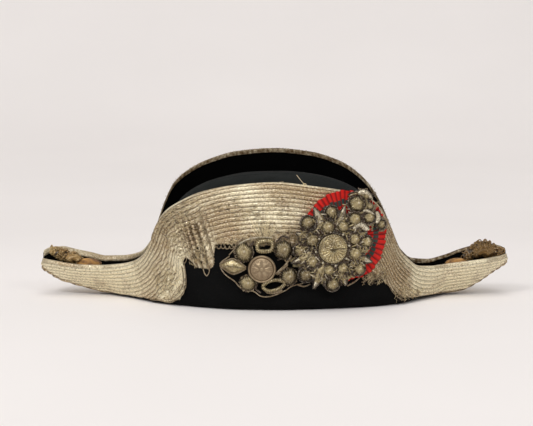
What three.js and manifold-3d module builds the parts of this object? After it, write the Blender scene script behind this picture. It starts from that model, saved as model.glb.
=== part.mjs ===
// A parade cocked hat, worn fore and aft: a hollow crown between two upturned flaps that meet in a long
// horn at each end. Ribbed silver lace binds both rims, and a pleated red and green cockade, a bullion star,
// a wreath round a button and a tassel in each horn dress it. Millimetres, +Z up, the wearer's front at +X.
import * as THREE from "three";
import Module from "manifold-3d";

const wasm = await Module();
wasm.setup();

// Walls and the gaps between pieces.
const FELT = 2.4;
const GAP = 0.35;
const CLEARANCE = 0.22;
const LACE_SEAT = 0.8;
const LACE_BACKING = 1.4;
const LACE_CREST = 2;

// The hat body, seen as a boat: one row for each section across it. keel is the height of the underside, flat
// the half-width that stays level there, roll the radius of the fold that turns it up, and rim and half the
// height and half-width of each flap's top edge. near is the side with the cockade.
const HULL = [
  { x: -221, keel: 27.5, flat: 0.4, roll: 2.8, nearRim: 32, nearHalf: 4, farRim: 37, farHalf: 4 },
  { x: -218, keel: 24.5, flat: 0.4, roll: 3.2, nearRim: 32, nearHalf: 6.5, farRim: 39, farHalf: 6.5 },
  { x: -212, keel: 20.5, flat: 0.4, roll: 4, nearRim: 31.5, nearHalf: 11.5, farRim: 41, farHalf: 11.5 },
  { x: -203, keel: 15.2, flat: 0.4, roll: 5, nearRim: 30.6, nearHalf: 15.5, farRim: 41, farHalf: 15.5 },
  { x: -190, keel: 10.8, flat: 0.4, roll: 6, nearRim: 28.8, nearHalf: 18.5, farRim: 37.8, farHalf: 18.5 },
  { x: -176, keel: 6.5, flat: 0.4, roll: 7, nearRim: 28.1, nearHalf: 21.5, farRim: 34.2, farHalf: 21.5 },
  { x: -160, keel: 2.6, flat: 1, roll: 8, nearRim: 28.4, nearHalf: 24.5, farRim: 30.3, farHalf: 24.5 },
  { x: -145, keel: 2.3, flat: 10, roll: 8, nearRim: 30.2, nearHalf: 28.5, farRim: 30.3, farHalf: 28.5 },
  { x: -130, keel: 1.2, flat: 22, roll: 8, nearRim: 34.6, nearHalf: 34.5, farRim: 33, farHalf: 34.5 },
  { x: -120, keel: 0.4, flat: 32, roll: 8, nearRim: 42.5, nearHalf: 41, farRim: 43.5, farHalf: 41 },
  { x: -113, keel: 0, flat: 39, roll: 8, nearRim: 56, nearHalf: 46.5, farRim: 62.5, farHalf: 46.5 },
  { x: -106, keel: 0, flat: 45, roll: 8, nearRim: 74, nearHalf: 52, farRim: 82.5, farHalf: 52 },
  { x: -98, keel: 0, flat: 50.5, roll: 8, nearRim: 84.8, nearHalf: 58, farRim: 98, farHalf: 58 },
  { x: -85, keel: 0, flat: 59, roll: 8, nearRim: 93.8, nearHalf: 65.5, farRim: 109.5, farHalf: 65.5 },
  { x: -65, keel: 0, flat: 69, roll: 8, nearRim: 103.2, nearHalf: 73, farRim: 119.6, farHalf: 73 },
  { x: -35, keel: 0, flat: 79, roll: 8, nearRim: 109.6, nearHalf: 78, farRim: 127.6, farHalf: 78 },
  { x: 0, keel: 0, flat: 82, roll: 8, nearRim: 112.2, nearHalf: 79.5, farRim: 130.2, farHalf: 79.5 },
  { x: 35, keel: 0, flat: 78.5, roll: 8, nearRim: 108.4, nearHalf: 78, farRim: 127, farHalf: 78 },
  { x: 65, keel: 0, flat: 72, roll: 8, nearRim: 103.4, nearHalf: 73, farRim: 118, farHalf: 73 },
  { x: 85, keel: 0, flat: 66, roll: 8, nearRim: 96.5, nearHalf: 66, farRim: 105, farHalf: 66 },
  { x: 96, keel: 0, flat: 61.5, roll: 8, nearRim: 86.5, nearHalf: 60, farRim: 92.5, farHalf: 60 },
  { x: 104, keel: 0, flat: 57, roll: 8, nearRim: 71, nearHalf: 54.5, farRim: 79, farHalf: 54.5 },
  { x: 113, keel: 0, flat: 51, roll: 8, nearRim: 49.5, nearHalf: 46.5, farRim: 56.5, farHalf: 46.5 },
  { x: 122, keel: 0.5, flat: 43, roll: 8, nearRim: 38.6, nearHalf: 39.5, farRim: 36.5, farHalf: 39.5 },
  { x: 133, keel: 2.2, flat: 31, roll: 8, nearRim: 30.4, nearHalf: 34, farRim: 27.6, farHalf: 34 },
  { x: 147, keel: 3.2, flat: 17, roll: 8, nearRim: 29, nearHalf: 28.5, farRim: 26.9, farHalf: 28.5 },
  { x: 162, keel: 3.2, flat: 3, roll: 8, nearRim: 29.9, nearHalf: 24.5, farRim: 30.8, farHalf: 24.5 },
  { x: 178, keel: 5.0, flat: 0.4, roll: 7, nearRim: 31.4, nearHalf: 21.5, farRim: 37.4, farHalf: 21.5 },
  { x: 192, keel: 12.0, flat: 0.4, roll: 6, nearRim: 32.8, nearHalf: 18.5, farRim: 41.6, farHalf: 18.5 },
  { x: 205, keel: 21.5, flat: 0.4, roll: 4.5, nearRim: 34.2, nearHalf: 14.5, farRim: 43.2, farHalf: 14.5 },
  { x: 213, keel: 26.5, flat: 0.4, roll: 3.4, nearRim: 35.2, nearHalf: 10.5, farRim: 42.5, farHalf: 10.5 },
  { x: 218, keel: 30.0, flat: 0.4, roll: 3, nearRim: 36.5, nearHalf: 6.5, farRim: 41, farHalf: 6.5 },
  { x: 221, keel: 32.0, flat: 0.4, roll: 2.8, nearRim: 37, nearHalf: 4, farRim: 40, farHalf: 4 },
];
const BOW = 0.022;
const BRIM_END = 219;
const LACE_END = 218.5;

// The hollow crown: an oval wall that rounds over to a low dome. A fullness of 2 is an ellipse, and more is fuller.
const CROWN = { long: 100, across: 76, wall: 2.2, shoulder: 58, height: 115.5, fullness: 2.4 };

// The lace: its ribs run with the rim, and a flat border finishes it.
const RIB = { count: 11, share: 0.78 };
const LACE_WRAP = 4.5;
const SLIVER = 0.11;

const NEAR = { rim: "nearRim", half: "nearHalf", out: -1 };
const FAR = { rim: "farRim", half: "farHalf", out: 1 };

// A smooth curve through a table's column, with no overshoot between its rows.
function column(rows, key, across = "x") {
  const x = rows.map((r) => r[across]);
  const y = rows.map((r) => r[key]);
  const last = x.length - 1;
  const slope = x.slice(1).map((v, i) => (y[i + 1] - y[i]) / (v - x[i]));
  const pull = x.map((_, i) => {
    if (i === 0 || i === last) return slope[Math.min(i, last - 1)];
    const [a, b] = [slope[i - 1], slope[i]];
    return a * b <= 0 ? 0 : (2 * a * b) / (a + b);
  });
  return (at) => {
    let i = x.findIndex((v) => v > at) - 1;
    if (i === -2) i = last - 1;
    i = Math.max(i, 0);
    const width = x[i + 1] - x[i];
    const t = Math.min(Math.max((at - x[i]) / width, 0), 1);
    const ends = y[i] * (1 + 2 * t) * (1 - t) ** 2 + y[i + 1] * t * t * (3 - 2 * t);
    return ends + width * (pull[i] * t * (1 - t) ** 2 - pull[i + 1] * t * t * (1 - t));
  };
}

const HULL_KEYS = Object.keys(HULL[0]).filter((k) => k !== "x");
const hull = Object.fromEntries(HULL_KEYS.map((k) => [k, column(HULL, k)]));

// The straight and the rolled part of one flap's section at x.
function sectionOf(side, x) {
  const [keel, flat, roll] = [hull.keel(x), hull.flat(x), hull.roll(x)];
  const [half, rim] = [hull[side.half](x), hull[side.rim](x)];
  const reach = Math.hypot(half - flat, rim - keel - roll);
  const tangent = Math.atan2(rim - keel - roll, half - flat) - Math.acos(roll / reach);
  const arc = roll * (tangent + Math.PI / 2);
  return { keel, flat, roll, half, rim, tangent, arc, line: Math.sqrt(reach ** 2 - roll ** 2) };
}

const girthOf = (side, x) => {
  const s = sectionOf(side, x);
  return s.arc + s.line;
};

// The point of the body's outer face at x, a girth b up from the fold. Below the fold it runs in along the floor.
function onBody(side, x, b) {
  const s = sectionOf(side, x);
  if (b <= 0) return new THREE.Vector3(x, side.out * (s.flat + b), s.keel);
  if (b <= s.arc) {
    const angle = b / s.roll - Math.PI / 2;
    const y = s.flat + s.roll * Math.cos(angle);
    return new THREE.Vector3(x, side.out * y, s.keel + s.roll * (1 + Math.sin(angle)));
  }
  const f = (b - s.arc) / s.line;
  const foot = [s.flat + s.roll * Math.cos(s.tangent), s.keel + s.roll * (1 + Math.sin(s.tangent))];
  const bow = BOW * s.line * Math.sin(Math.PI * Math.min(f, 1)) ** 2;
  const y = foot[0] + (s.half - foot[0]) * f + bow * Math.cos(s.tangent);
  const z = foot[1] + (s.rim - foot[1]) * f + bow * Math.sin(s.tangent);
  return new THREE.Vector3(x, side.out * y, z);
}

// The body's outward normal there.
function bodyNormal(side, x, b) {
  const step = 0.5;
  const along = onBody(side, x + step, b).sub(onBody(side, x - step, b));
  const up = onBody(side, x, b + step).sub(onBody(side, x, b - step));
  return up.cross(along).multiplyScalar(side.out).normalize();
}

const lifted = (side, x, b, lift) => onBody(side, x, b).addScaledVector(bodyNormal(side, x, b), lift);

// A closed mesh through rings of equal count. Looped ones meet, and open ends are closed by a strip between
// the first points of the ring, as many as fold says, and the rest of it.
function loft(rings, { looped = false, fold = Math.floor(rings[0].length / 2) } = {}) {
  const n = rings[0].length;
  const points = rings.flat();
  const faces = [];
  const spans = looped ? rings.length : rings.length - 1;
  for (let i = 0; i < spans; i++)
    for (let j = 0; j < n; j++) {
      const [a, b] = [i * n + j, i * n + ((j + 1) % n)];
      const step = (((i + 1) % rings.length) - i) * n;
      faces.push([a, b, b + step], [a, b + step, a + step]);
    }
  if (!looped) {
    const last = (rings.length - 1) * n;
    const cap = stripAcross(n, fold);
    cap.forEach(([a, b, c]) => faces.push([c, b, a], [last + a, last + b, last + c]));
  }
  return facingOut(points, faces);
}

// Triangles between the two sides of a ring of n points, whose first side has the points before fold.
function stripAcross(n, fold) {
  const faces = [];
  let [i, j] = [0, n - 1];
  while (i < fold - 1 || j > fold) {
    const stepFirst = j === fold || (i < fold - 1 && (i + 1) / fold <= (n - j) / (n - fold));
    faces.push(stepFirst ? [i, i + 1, j] : [i, j - 1, j]);
    stepFirst ? i++ : j--;
  }
  return faces;
}

// The mesh with its faces pointing out.
function facingOut(points, faces) {
  let volume = 0;
  for (const [a, b, c] of faces) volume += points[a].dot(points[b].clone().cross(points[c]));
  const index = faces.flatMap(([a, b, c]) => (volume < 0 ? [c, b, a] : [a, b, c]));
  const geometry = new THREE.BufferGeometry().setFromPoints(points);
  geometry.setIndex(index);
  return geometry;
}

// Solids for cutting and joining.
function solidOf(geometry) {
  const vertProperties = new Float32Array(geometry.attributes.position.array);
  const triVerts = new Uint32Array(geometry.index.array);
  return new wasm.Manifold(new wasm.Mesh({ numProp: 3, vertProperties, triVerts }));
}

function geometryOf(solid) {
  const { vertProperties, triVerts } = solid.getMesh();
  const geometry = new THREE.BufferGeometry();
  geometry.setAttribute("position", new THREE.BufferAttribute(vertProperties, 3));
  return geometry.setIndex(new THREE.BufferAttribute(triVerts, 1));
}

// The largest of the bodies that a cut leaves.
const mainBody = (solid) => solid.decompose().sort((a, b) => b.volume() - a.volume())[0];

const spread = (from, to, count) => Array.from({ length: count }, (_, i) => from + ((to - from) * i) / (count - 1));
const TAU = 2 * Math.PI;

// The brim: a boat-shaped felt shell, cut through for the crown. grow makes a fatter copy to cut its neighbours with.
function brimShell(grow = 0) {
  const arcSteps = spread(0, 1, 3);
  const wallSteps = [0.34, 0.67, 1];
  const path = (side, x, skin) => {
    const s = sectionOf(side, x);
    const girths = [...arcSteps.map((f) => f * s.arc), ...wallSteps.map((f) => s.arc + f * (s.line + grow))];
    return girths.map((b) => {
      const normal = bodyNormal(side, x, b).setX(0).normalize();
      return onBody(side, x, b).addScaledVector(normal, skin);
    });
  };
  const skinAt = (x, skin) => {
    const keel = new THREE.Vector3(x, 0, hull.keel(x) - skin);
    return [...path(NEAR, x, skin).reverse(), keel, ...path(FAR, x, skin)];
  };
  const rings = [];
  for (const x of brimStations(BRIM_END + grow)) rings.push([...skinAt(x, grow), ...skinAt(x, -FELT - grow).reverse()]);
  const opening = ovalPrism(CROWN.long + GAP - grow, CROWN.across + GAP - grow, -5, 12);
  return solidOf(loft(rings)).subtract(solidOf(opening));
}

function brimStations(end) {
  const half = [0, 20, 38, 55, 70, 82, 91, 98, 104, 110, 116, 123, 132, 144, 158, 173, 188, 201, 211, end];
  return [...half.slice(1).map((x) => -x).reverse(), ...half];
}

function ovalPrism(long, across, bottom, top) {
  const ring = (z) => spread(0, TAU, 41).slice(0, 40).map((a) => ovalPoint(long, across, a, z));
  return loft([ring(bottom), ring(top)]);
}

const ovalPoint = (long, across, angle, z) => new THREE.Vector3(long * Math.cos(angle), across * Math.sin(angle), z);

// The crown: a hollow oval dome, open below.
function crownShell() {
  const sides = 36;
  const ring = (inset, z) => {
    const drop = Math.max(z - CROWN.shoulder, 0) / (CROWN.height - inset - CROWN.shoulder);
    const shrink = Math.max(1 - drop ** CROWN.fullness, 0.0002) ** (1 / CROWN.fullness);
    return spread(0, TAU, sides + 1)
      .slice(0, sides)
      .map((a) => ovalPoint((CROWN.long - inset) * shrink, (CROWN.across - inset) * shrink, a, z));
  };
  const rise = [0, 0.4, 0.7, 0.89, 0.985];
  const heights = (inset) => [0, ...rise.map((f) => CROWN.shoulder + f * (CROWN.height - inset - CROWN.shoulder))];
  const inner = heights(CROWN.wall).map((z) => ring(CROWN.wall, z));
  const outer = heights(0).map((z) => ring(0, z));
  return loft([...inner.reverse(), ...outer]);
}

// A flap's outer face laid flat: run is the distance along it, so that run and girth measure true.
function flatMap(side) {
  const step = 0.5;
  const mean = (x) => (hull.flat(x) + hull[side.half](x)) / 2;
  const rows = [{ x: -220, run: 0 }];
  for (let x = -220; x < 220; x += step)
    rows.push({ x: x + step, run: rows.at(-1).run + Math.hypot(step, mean(x + step) - mean(x)) });
  const middle = rows[Math.round(220 / step)].run;
  rows.forEach((r) => (r.run -= middle));
  return { runOf: column(rows, "run"), xOf: column(rows, "x", "run") };
}

const MAPS = new Map([NEAR, FAR].map((side) => [side, flatMap(side)]));

// The lines that lace lies along: each runs from a point of the rim to its foot at the lace's lower edge.
function laceLines(side, spacing, feet) {
  const { runOf } = MAPS.get(side);
  const [footX, footB] = [column(feet, "footX"), column(feet, "footB")];
  const spacingAt = column(spacing, "every");
  const stops = [];
  for (let x = -LACE_END; x < LACE_END; x += stopAfter(side, x, spacingAt(x))) stops.push(x);
  stops[stops.length - 1] = LACE_END;
  return stops.map((x) => {
    const rim = { run: runOf(x), b: girthOf(side, x) };
    const foot = { run: runOf(footX(x)), b: Math.min(footB(x), rim.b - 2) };
    return { x, rim, foot };
  });
}

// The step in x that goes this far along the rim.
function stopAfter(side, x, distance) {
  const rise = girthOf(side, x + 1) - girthOf(side, x);
  const run = MAPS.get(side).runOf(x + 1) - MAPS.get(side).runOf(x);
  return distance / Math.hypot(rise, run);
}

// Lace over one flap: it wraps the rim, and its ribs follow it out to a flat border. feet gives its lower edge,
// and pleat how deep every second line is folded, for lines that start at each x.
function laceBand(side, { spacing, feet, pleat }) {
  const { xOf } = MAPS.get(side);
  const pleatAt = column(pleat, "depth");
  const ribs = spread(0, RIB.share, 2 * RIB.count + 1).map((share, j) => ({
    share,
    lift: j % 2 ? LACE_CREST : LACE_BACKING,
  }));
  const face = [...ribs, { share: 0.9, lift: LACE_BACKING + 0.1 }, { share: 1, lift: LACE_BACKING }];
  const seat = [1, 0.86, 0.71, 0.56, 0.42, 0.22, 0.05].map((share) => ({ share, lift: LACE_SEAT }));
  const rings = laceLines(side, spacing, feet).map(({ x, rim, foot }, i) => {
    const fold = (i % 2) * pleatAt(x);
    const at = ({ share, lift }) => {
      const [run, b] = [rim.run + share * (foot.run - rim.run), rim.b + share * (foot.b - rim.b)];
      return lifted(side, xOf(run), b, lift + fold * Math.min(Math.max(share - 0.3, 0) * 2, 1));
    };
    const edge = onBody(side, x, rim.b);
    const normal = bodyNormal(side, x, rim.b - 1).setX(0).normalize();
    const down = onBody(side, x, rim.b - 2).sub(edge).normalize();
    const over = (out, drop) => edge.clone().addScaledVector(normal, out).addScaledVector(down, drop);
    const behind = -FELT - LACE_SEAT;
    const back = behind - (LACE_BACKING - LACE_SEAT);
    const wrap = [over(back, LACE_WRAP), over(back, -LACE_SEAT), over(-FELT / 2, -LACE_CREST)];
    const under = [over(LACE_SEAT, -LACE_SEAT), over(behind, -LACE_SEAT), over(behind, LACE_WRAP)];
    return [...wrap, ...face.map(at), ...seat.map(at), ...under];
  });
  const band = solidOf(loft(rings, { fold: 3 + face.length }));
  return geometryOf(mainBody(band.subtract(brimShell(CLEARANCE))).simplify(SLIVER));
}

// The place on the near flap at x and height z, as a spot on its flat map.
function spotAt(x, z) {
  const s = sectionOf(NEAR, x);
  const foot = s.keel + s.roll * (1 + Math.sin(s.tangent));
  return { run: MAPS.get(NEAR).runOf(x), b: s.arc + (s.line * (z - foot)) / (s.rim - foot) };
}

// The place that lies at a distance from another, at an angle from the front.
const around = (spot, distance, angle) => ({
  run: spot.run + distance * Math.cos(angle),
  b: spot.b + distance * Math.sin(angle),
});

const onFlap = (run, b, lift) => lifted(NEAR, MAPS.get(NEAR).xOf(run), b, lift);

// A piece lying on the near flap: rows of radius and lift turned about a spot. shape scales the radius by the
// angle, and ripple moves every second point in and out of the flap.
function turnedOnFlap(spot, rows, sides, { shape = () => 1, ripple = 0 } = {}) {
  const rings = rows.map(({ r, lift, flat = false }) =>
    spread(0, TAU, sides + 1)
      .slice(0, sides)
      .map((angle, j) => {
        const at = around(spot, r * shape(angle), angle);
        return onFlap(at.run, at.b, lift + (flat || j % 2 ? 0 : ripple));
      }),
  );
  return loft(rings);
}

// A dome of wound bullion.
const boss = (spot, radius, base, height, sides = 8) =>
  turnedOnFlap(spot, domeRows(radius, base, height), sides);

const domeRows = (radius, base, height) => [
  { r: radius, lift: base },
  { r: radius * 0.88, lift: base + height * 0.6 },
  { r: radius * 0.4, lift: base + height },
];

// How far an oval with these half-sizes, turned to a heading, reaches at each angle.
const ovalShape = (long, across, heading) => (angle) =>
  1 / Math.hypot(Math.cos(angle - heading) / long, Math.sin(angle - heading) / across);

// A pointed leaf's reach at each angle.
const leafShape = (long, across, heading) => (angle) => {
  const [c, s] = [Math.abs(Math.cos(angle - heading)), Math.abs(Math.sin(angle - heading))];
  return 1 / (c / long + s / across);
};

// An open loop of covered cord lying on the flap, oval and turned to a heading.
function openLoop(spot, long, across, heading, thick, base) {
  const reach = ovalShape(long, across, heading);
  const section = spread(0, TAU, 6).slice(0, 5);
  const rings = spread(0, TAU, 15)
    .slice(0, 14)
    .map((angle) =>
      section.map((turn) => {
        const at = around(spot, reach(angle) + thick * Math.cos(turn), angle);
        return onFlap(at.run, at.b, base + thick * (1 + Math.sin(turn)));
      }),
    );
  return loft(rings, { looped: true });
}

// A tassel lying along the horn: a smooth head, then locks of bullion side by side.
function tassel(rows) {
  const sides = 16;
  const rings = rows.map(({ x, z, wide, tall, lock }) =>
    spread(0, TAU, sides + 1)
      .slice(0, sides)
      .map((angle, j) => {
        const full = 1 - lock * (j % 2);
        return new THREE.Vector3(x, wide * full * Math.cos(angle), z + tall * full * Math.sin(angle));
      }),
  );
  return loft(rings);
}

const finish = (color, roughness, metalness) => new THREE.MeshStandardMaterial({ color, roughness, metalness });
const MATERIALS = {
  felt: finish(0x101010, 0.9, 0),
  crownCloth: finish(0x262b27, 0.75, 0),
  lace: finish(0xb8a67e, 0.45, 0.7),
  ribbon: finish(0xc02418, 0.6, 0),
  bullion: finish(0x8d7753, 0.45, 0.7),
  ray: finish(0xb9ad90, 0.4, 0.7),
  button: finish(0x98846a, 0.4, 0.8),
  tassel: finish(0x7b5c34, 0.6, 0.3),
};

// The near lace is pleated and torn at the rear shoulder and widens under the cockade. The far one is plain.
const LACE_NEAR = {
  spacing: [
    { x: -219, every: 13 },
    { x: -135, every: 11 },
    { x: -116, every: 7.5 },
    { x: -62, every: 7.5 },
    { x: -45, every: 20 },
    { x: 60, every: 20 },
    { x: 88, every: 11 },
    { x: 125, every: 10 },
    { x: 150, every: 16 },
    { x: 219, every: 12 },
  ],
  feet: [
    { x: -221, footX: -221, footB: 1 },
    { x: -160, footX: -161, footB: 1.5 },
    { x: -135, footX: -134, footB: 4.5 },
    { x: -120, footX: -113, footB: 9 },
    { x: -114, footX: -100, footB: 10 },
    { x: -108, footX: -88, footB: 13 },
    { x: -102, footX: -82, footB: 33 },
    { x: -97, footX: -79, footB: 50 },
    { x: -91, footX: -73, footB: 46 },
    { x: -84, footX: -66, footB: 39 },
    { x: -76, footX: -60.5, footB: 42 },
    { x: -68, footX: -57, footB: 55 },
    { x: -58, footX: -53, footB: 61 },
    { x: -40, footX: -40, footB: 63 },
    { x: 40, footX: 40, footB: 61 },
    { x: 60, footX: 57, footB: 54 },
    { x: 72, footX: 65, footB: 46 },
    { x: 84, footX: 74, footB: 37 },
    { x: 94, footX: 83, footB: 34 },
    { x: 102, footX: 93, footB: 31 },
    { x: 108, footX: 101, footB: 24 },
    { x: 114, footX: 109, footB: 15 },
    { x: 121, footX: 119, footB: 10 },
    { x: 135, footX: 137, footB: 4.5 },
    { x: 160, footX: 161, footB: 1.5 },
    { x: 221, footX: 221, footB: 1 },
  ],
  pleat: [
    { x: -219, depth: 0 },
    { x: -112, depth: 0 },
    { x: -98, depth: 0.9 },
    { x: -66, depth: 1.1 },
    { x: -50, depth: 0 },
    { x: 219, depth: 0 },
  ],
};
const LACE_FAR = {
  spacing: [
    { x: -219, every: 18 },
    { x: -125, every: 13 },
    { x: -85, every: 20 },
    { x: 0, every: 30 },
    { x: 85, every: 20 },
    { x: 125, every: 13 },
    { x: 219, every: 18 },
  ],
  feet: [
    { x: -221, footX: -221, footB: 1 },
    { x: -160, footX: -161, footB: 1.5 },
    { x: -135, footX: -134, footB: 4.5 },
    { x: -120, footX: -113, footB: 10 },
    { x: -110, footX: -93, footB: 24 },
    { x: -98, footX: -78, footB: 48 },
    { x: -80, footX: -64, footB: 62 },
    { x: -50, footX: -47, footB: 74 },
    { x: 0, footX: 0, footB: 81 },
    { x: 50, footX: 47, footB: 70 },
    { x: 80, footX: 64, footB: 57 },
    { x: 98, footX: 80, footB: 44 },
    { x: 110, footX: 97, footB: 22 },
    { x: 120, footX: 114, footB: 10 },
    { x: 135, footX: 136, footB: 4.5 },
    { x: 160, footX: 161, footB: 1.5 },
    { x: 221, footX: 221, footB: 1 },
  ],
  pleat: [
    { x: -219, depth: 0 },
    { x: 219, depth: 0 },
  ],
};

// The cockade is a pleated ribbon disc, and the star lies over it.
const COCKADE = { x: 61.3, z: 65.5, tall: 41, wide: 37.4, pleats: 22, base: 2.9, thick: 2.6, ripple: 0.8 };
const STAR = { x: 48, z: 54.6, arms: 8, backing: 33, base: 7, thick: 1.9, medallion: 10.4 };
const STAR_TOP = STAR.base + STAR.thick + 0.6;
const STAR_RINGS = [
  { name: "star_boss", material: "bullion", distance: 20.5, start: 20, radius: 6.2, height: 4.6 },
  { name: "star_outer_boss", material: "bullion", distance: 31.5, start: 0, radius: 5.2, height: 4.2 },
];
const RAY = { distance: 34, start: 22.5, long: 6.8, across: 3.2, height: 2.6 };

// Sprigs of the same work: two flowers and a boss lead from the star to the button's wreath, and the spray
// stands over the front of the cockade.
const SPRIGS = [
  { name: "neck_flower", x: 7.5, z: 56.5, radius: 8, height: 4.5, base: 2.9 },
  { name: "neck_boss", x: 12.4, z: 30.5, radius: 7.2, height: 4.5, base: 2.9 },
  { name: "wreath_flower_1", x: -27.5, z: 53.4, radius: 8.4, height: 4.5, base: 2.9 },
  { name: "wreath_flower_2", x: -25.6, z: 23.4, radius: 7, height: 4.5, base: 2.9 },
  { name: "spray_boss_1", x: 71.5, z: 94.5, radius: 5.6, height: 4, base: 7 },
  { name: "spray_boss_2", x: 79, z: 102.5, radius: 3.8, height: 3.4, base: 7 },
  { name: "spray_boss_3", x: 82.5, z: 92.3, radius: 3.6, height: 3.6, base: 7 },
  { name: "spray_boss_4", x: 82, z: 81.5, radius: 4.2, height: 3.6, base: 7 },
  { name: "spray_boss_5", x: 92, z: 74.5, radius: 4, height: 3.2, base: 7 },
];
const LEAF = { x: -36, z: 39.5, long: 8.6, across: 6, heading: 0, base: 2.9, height: 2.6 };
const LOOPS = [
  { name: "wreath_loop_1", x: -9.6, z: 57, long: 6.2, across: 3.6, heading: 0, thick: 1.4, base: 2.9 },
  { name: "wreath_loop_2", x: -3.4, z: 21.5, long: 10.5, across: 3.4, heading: 12, thick: 1.3, base: 2.9 },
];

// The button has a raised rim round a low dome.
const BUTTON = { x: -11.5, z: 37.4, base: 2.5 };
const BUTTON_ROWS = [
  { r: 11.2, lift: 0 },
  { r: 12, lift: 0.9 },
  { r: 11.6, lift: 2.6 },
  { r: 10.3, lift: 2.2 },
  { r: 7.6, lift: 4.1 },
  { r: 3, lift: 5 },
];

// Each tassel, from its silk head to the bullion that fills the tip of the horn.
const TASSEL_LEFT = [
  { x: -163.5, z: 28.5, wide: 4, tall: 3, lock: 0 },
  { x: -168, z: 28, wide: 8, tall: 6, lock: 0 },
  { x: -175, z: 28, wide: 9.5, tall: 7.4, lock: 0 },
  { x: -182, z: 28.5, wide: 9, tall: 7, lock: 0 },
  { x: -187, z: 31, wide: 7, tall: 5.5, lock: 0.1 },
  { x: -191, z: 34, wide: 7.5, tall: 7.5, lock: 0.16 },
  { x: -197, z: 36.5, wide: 7.5, tall: 8.5, lock: 0.16 },
  { x: -203, z: 38, wide: 6.8, tall: 8, lock: 0.18 },
  { x: -208, z: 40, wide: 5.4, tall: 7, lock: 0.18 },
  { x: -212, z: 42, wide: 3, tall: 4, lock: 0.18 },
];
const TASSEL_RIGHT = [
  { x: 161.5, z: 28.5, wide: 3.6, tall: 3, lock: 0 },
  { x: 166, z: 28, wide: 7.4, tall: 6, lock: 0 },
  { x: 173, z: 28.5, wide: 9, tall: 7.4, lock: 0 },
  { x: 180, z: 30, wide: 8.4, tall: 7.2, lock: 0 },
  { x: 185, z: 33.5, wide: 7, tall: 7, lock: 0.1 },
  { x: 190, z: 38, wide: 8, tall: 10.5, lock: 0.18 },
  { x: 197, z: 41, wide: 8, tall: 12.5, lock: 0.18 },
  { x: 203, z: 41.5, wide: 7.4, tall: 11.5, lock: 0.18 },
  { x: 209, z: 42, wide: 5.6, tall: 7, lock: 0.18 },
  { x: 215, z: 44.5, wide: 3.8, tall: 4, lock: 0.18 },
];

const meshes = [];
function add(name, material, geometry) {
  const mesh = new THREE.Mesh(geometry, MATERIALS[material]);
  mesh.name = name;
  meshes.push(mesh);
}

const radians = THREE.MathUtils.degToRad;

add("crown", "crownCloth", crownShell());
add("brim", "felt", geometryOf(brimShell()));
add("lace_near", "lace", laceBand(NEAR, LACE_NEAR));
add("lace_far", "lace", laceBand(FAR, LACE_FAR));

function cockade() {
  const { x, z, wide, tall, pleats, base, thick, ripple } = COCKADE;
  const rows = [
    { r: 0.1, lift: base, flat: true },
    { r: 0.36, lift: base, flat: true },
    { r: 0.7, lift: base, flat: true },
    { r: 1, lift: base, flat: true },
    { r: 1, lift: base + thick * 0.7 },
    { r: 0.72, lift: base + thick },
    { r: 0.4, lift: base + thick },
    { r: 0.1, lift: base + thick, flat: true },
  ];
  return turnedOnFlap(spotAt(x, z), rows, 2 * pleats, { shape: ovalShape(wide, tall, 0), ripple });
}
add("cockade", "ribbon", cockade());

const starSpot = spotAt(STAR.x, STAR.z);
const backingRows = [
  { r: 4, lift: STAR.base },
  { r: STAR.backing * 0.55, lift: STAR.base },
  { r: STAR.backing, lift: STAR.base },
  { r: STAR.backing, lift: STAR.base + STAR.thick },
  { r: STAR.backing * 0.55, lift: STAR.base + STAR.thick },
  { r: 4, lift: STAR.base + STAR.thick },
];
const scallop = (angle) => 1 + 0.035 * Math.cos(STAR.arms * angle);
add("star_backing", "bullion", turnedOnFlap(starSpot, backingRows, 24, { shape: scallop }));
add("star_medallion", "bullion", boss(starSpot, STAR.medallion, STAR_TOP, 3.6, 20));
for (let i = 0; i < STAR.arms; i++) {
  const turn = (360 / STAR.arms) * i;
  for (const ring of STAR_RINGS) {
    const spot = around(starSpot, ring.distance, radians(ring.start + turn));
    add(`${ring.name}_${i + 1}`, ring.material, boss(spot, ring.radius, STAR_TOP, ring.height));
  }
  const heading = radians(RAY.start + turn);
  const shape = leafShape(RAY.long, RAY.across, heading);
  const spot = around(starSpot, RAY.distance, heading);
  const rows = domeRows(1, STAR_TOP, RAY.height);
  add(`star_ray_${i + 1}`, "ray", turnedOnFlap(spot, rows, 8, { shape }));
}

for (const { name, x, z, radius, height, base } of SPRIGS)
  add(name, "bullion", boss(spotAt(x, z), radius, base, height, 10));

const leafRows = domeRows(1, LEAF.base, LEAF.height);
const leafReach = leafShape(LEAF.long, LEAF.across, radians(LEAF.heading));
add("wreath_leaf", "bullion", turnedOnFlap(spotAt(LEAF.x, LEAF.z), leafRows, 12, { shape: leafReach }));
for (const { name, x, z, long, across, heading, thick, base } of LOOPS)
  add(name, "bullion", openLoop(spotAt(x, z), long, across, radians(heading), thick, base));

const buttonRows = BUTTON_ROWS.map((row) => ({ r: row.r, lift: BUTTON.base + row.lift }));
add("button", "button", turnedOnFlap(spotAt(BUTTON.x, BUTTON.z), buttonRows, 16));

add("tassel_left", "tassel", tassel(TASSEL_LEFT));
add("tassel_right", "tassel", tassel(TASSEL_RIGHT));

// The hat stands with the middle of its box over the origin.
const hat = new THREE.Group();
hat.add(...meshes);
const box = new THREE.Box3().setFromObject(hat);
const middle = box.getCenter(new THREE.Vector3());
hat.position.set(-middle.x, -middle.y, -box.min.z);
export default hat;
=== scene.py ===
"""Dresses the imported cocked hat: felt, crown cloth, metal lace, cockade, bullion star, button and tassels.

Shapes are worked out in millimetres in the hat's own frame, where the crown's axis is x = y = 0 and the floor
is z = 0. They go into the row frame, in metres, as their meshes are made.
"""

from __future__ import annotations

import logging
import math
from collections.abc import Sequence
from dataclasses import dataclass, field
from enum import Enum, IntEnum

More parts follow.
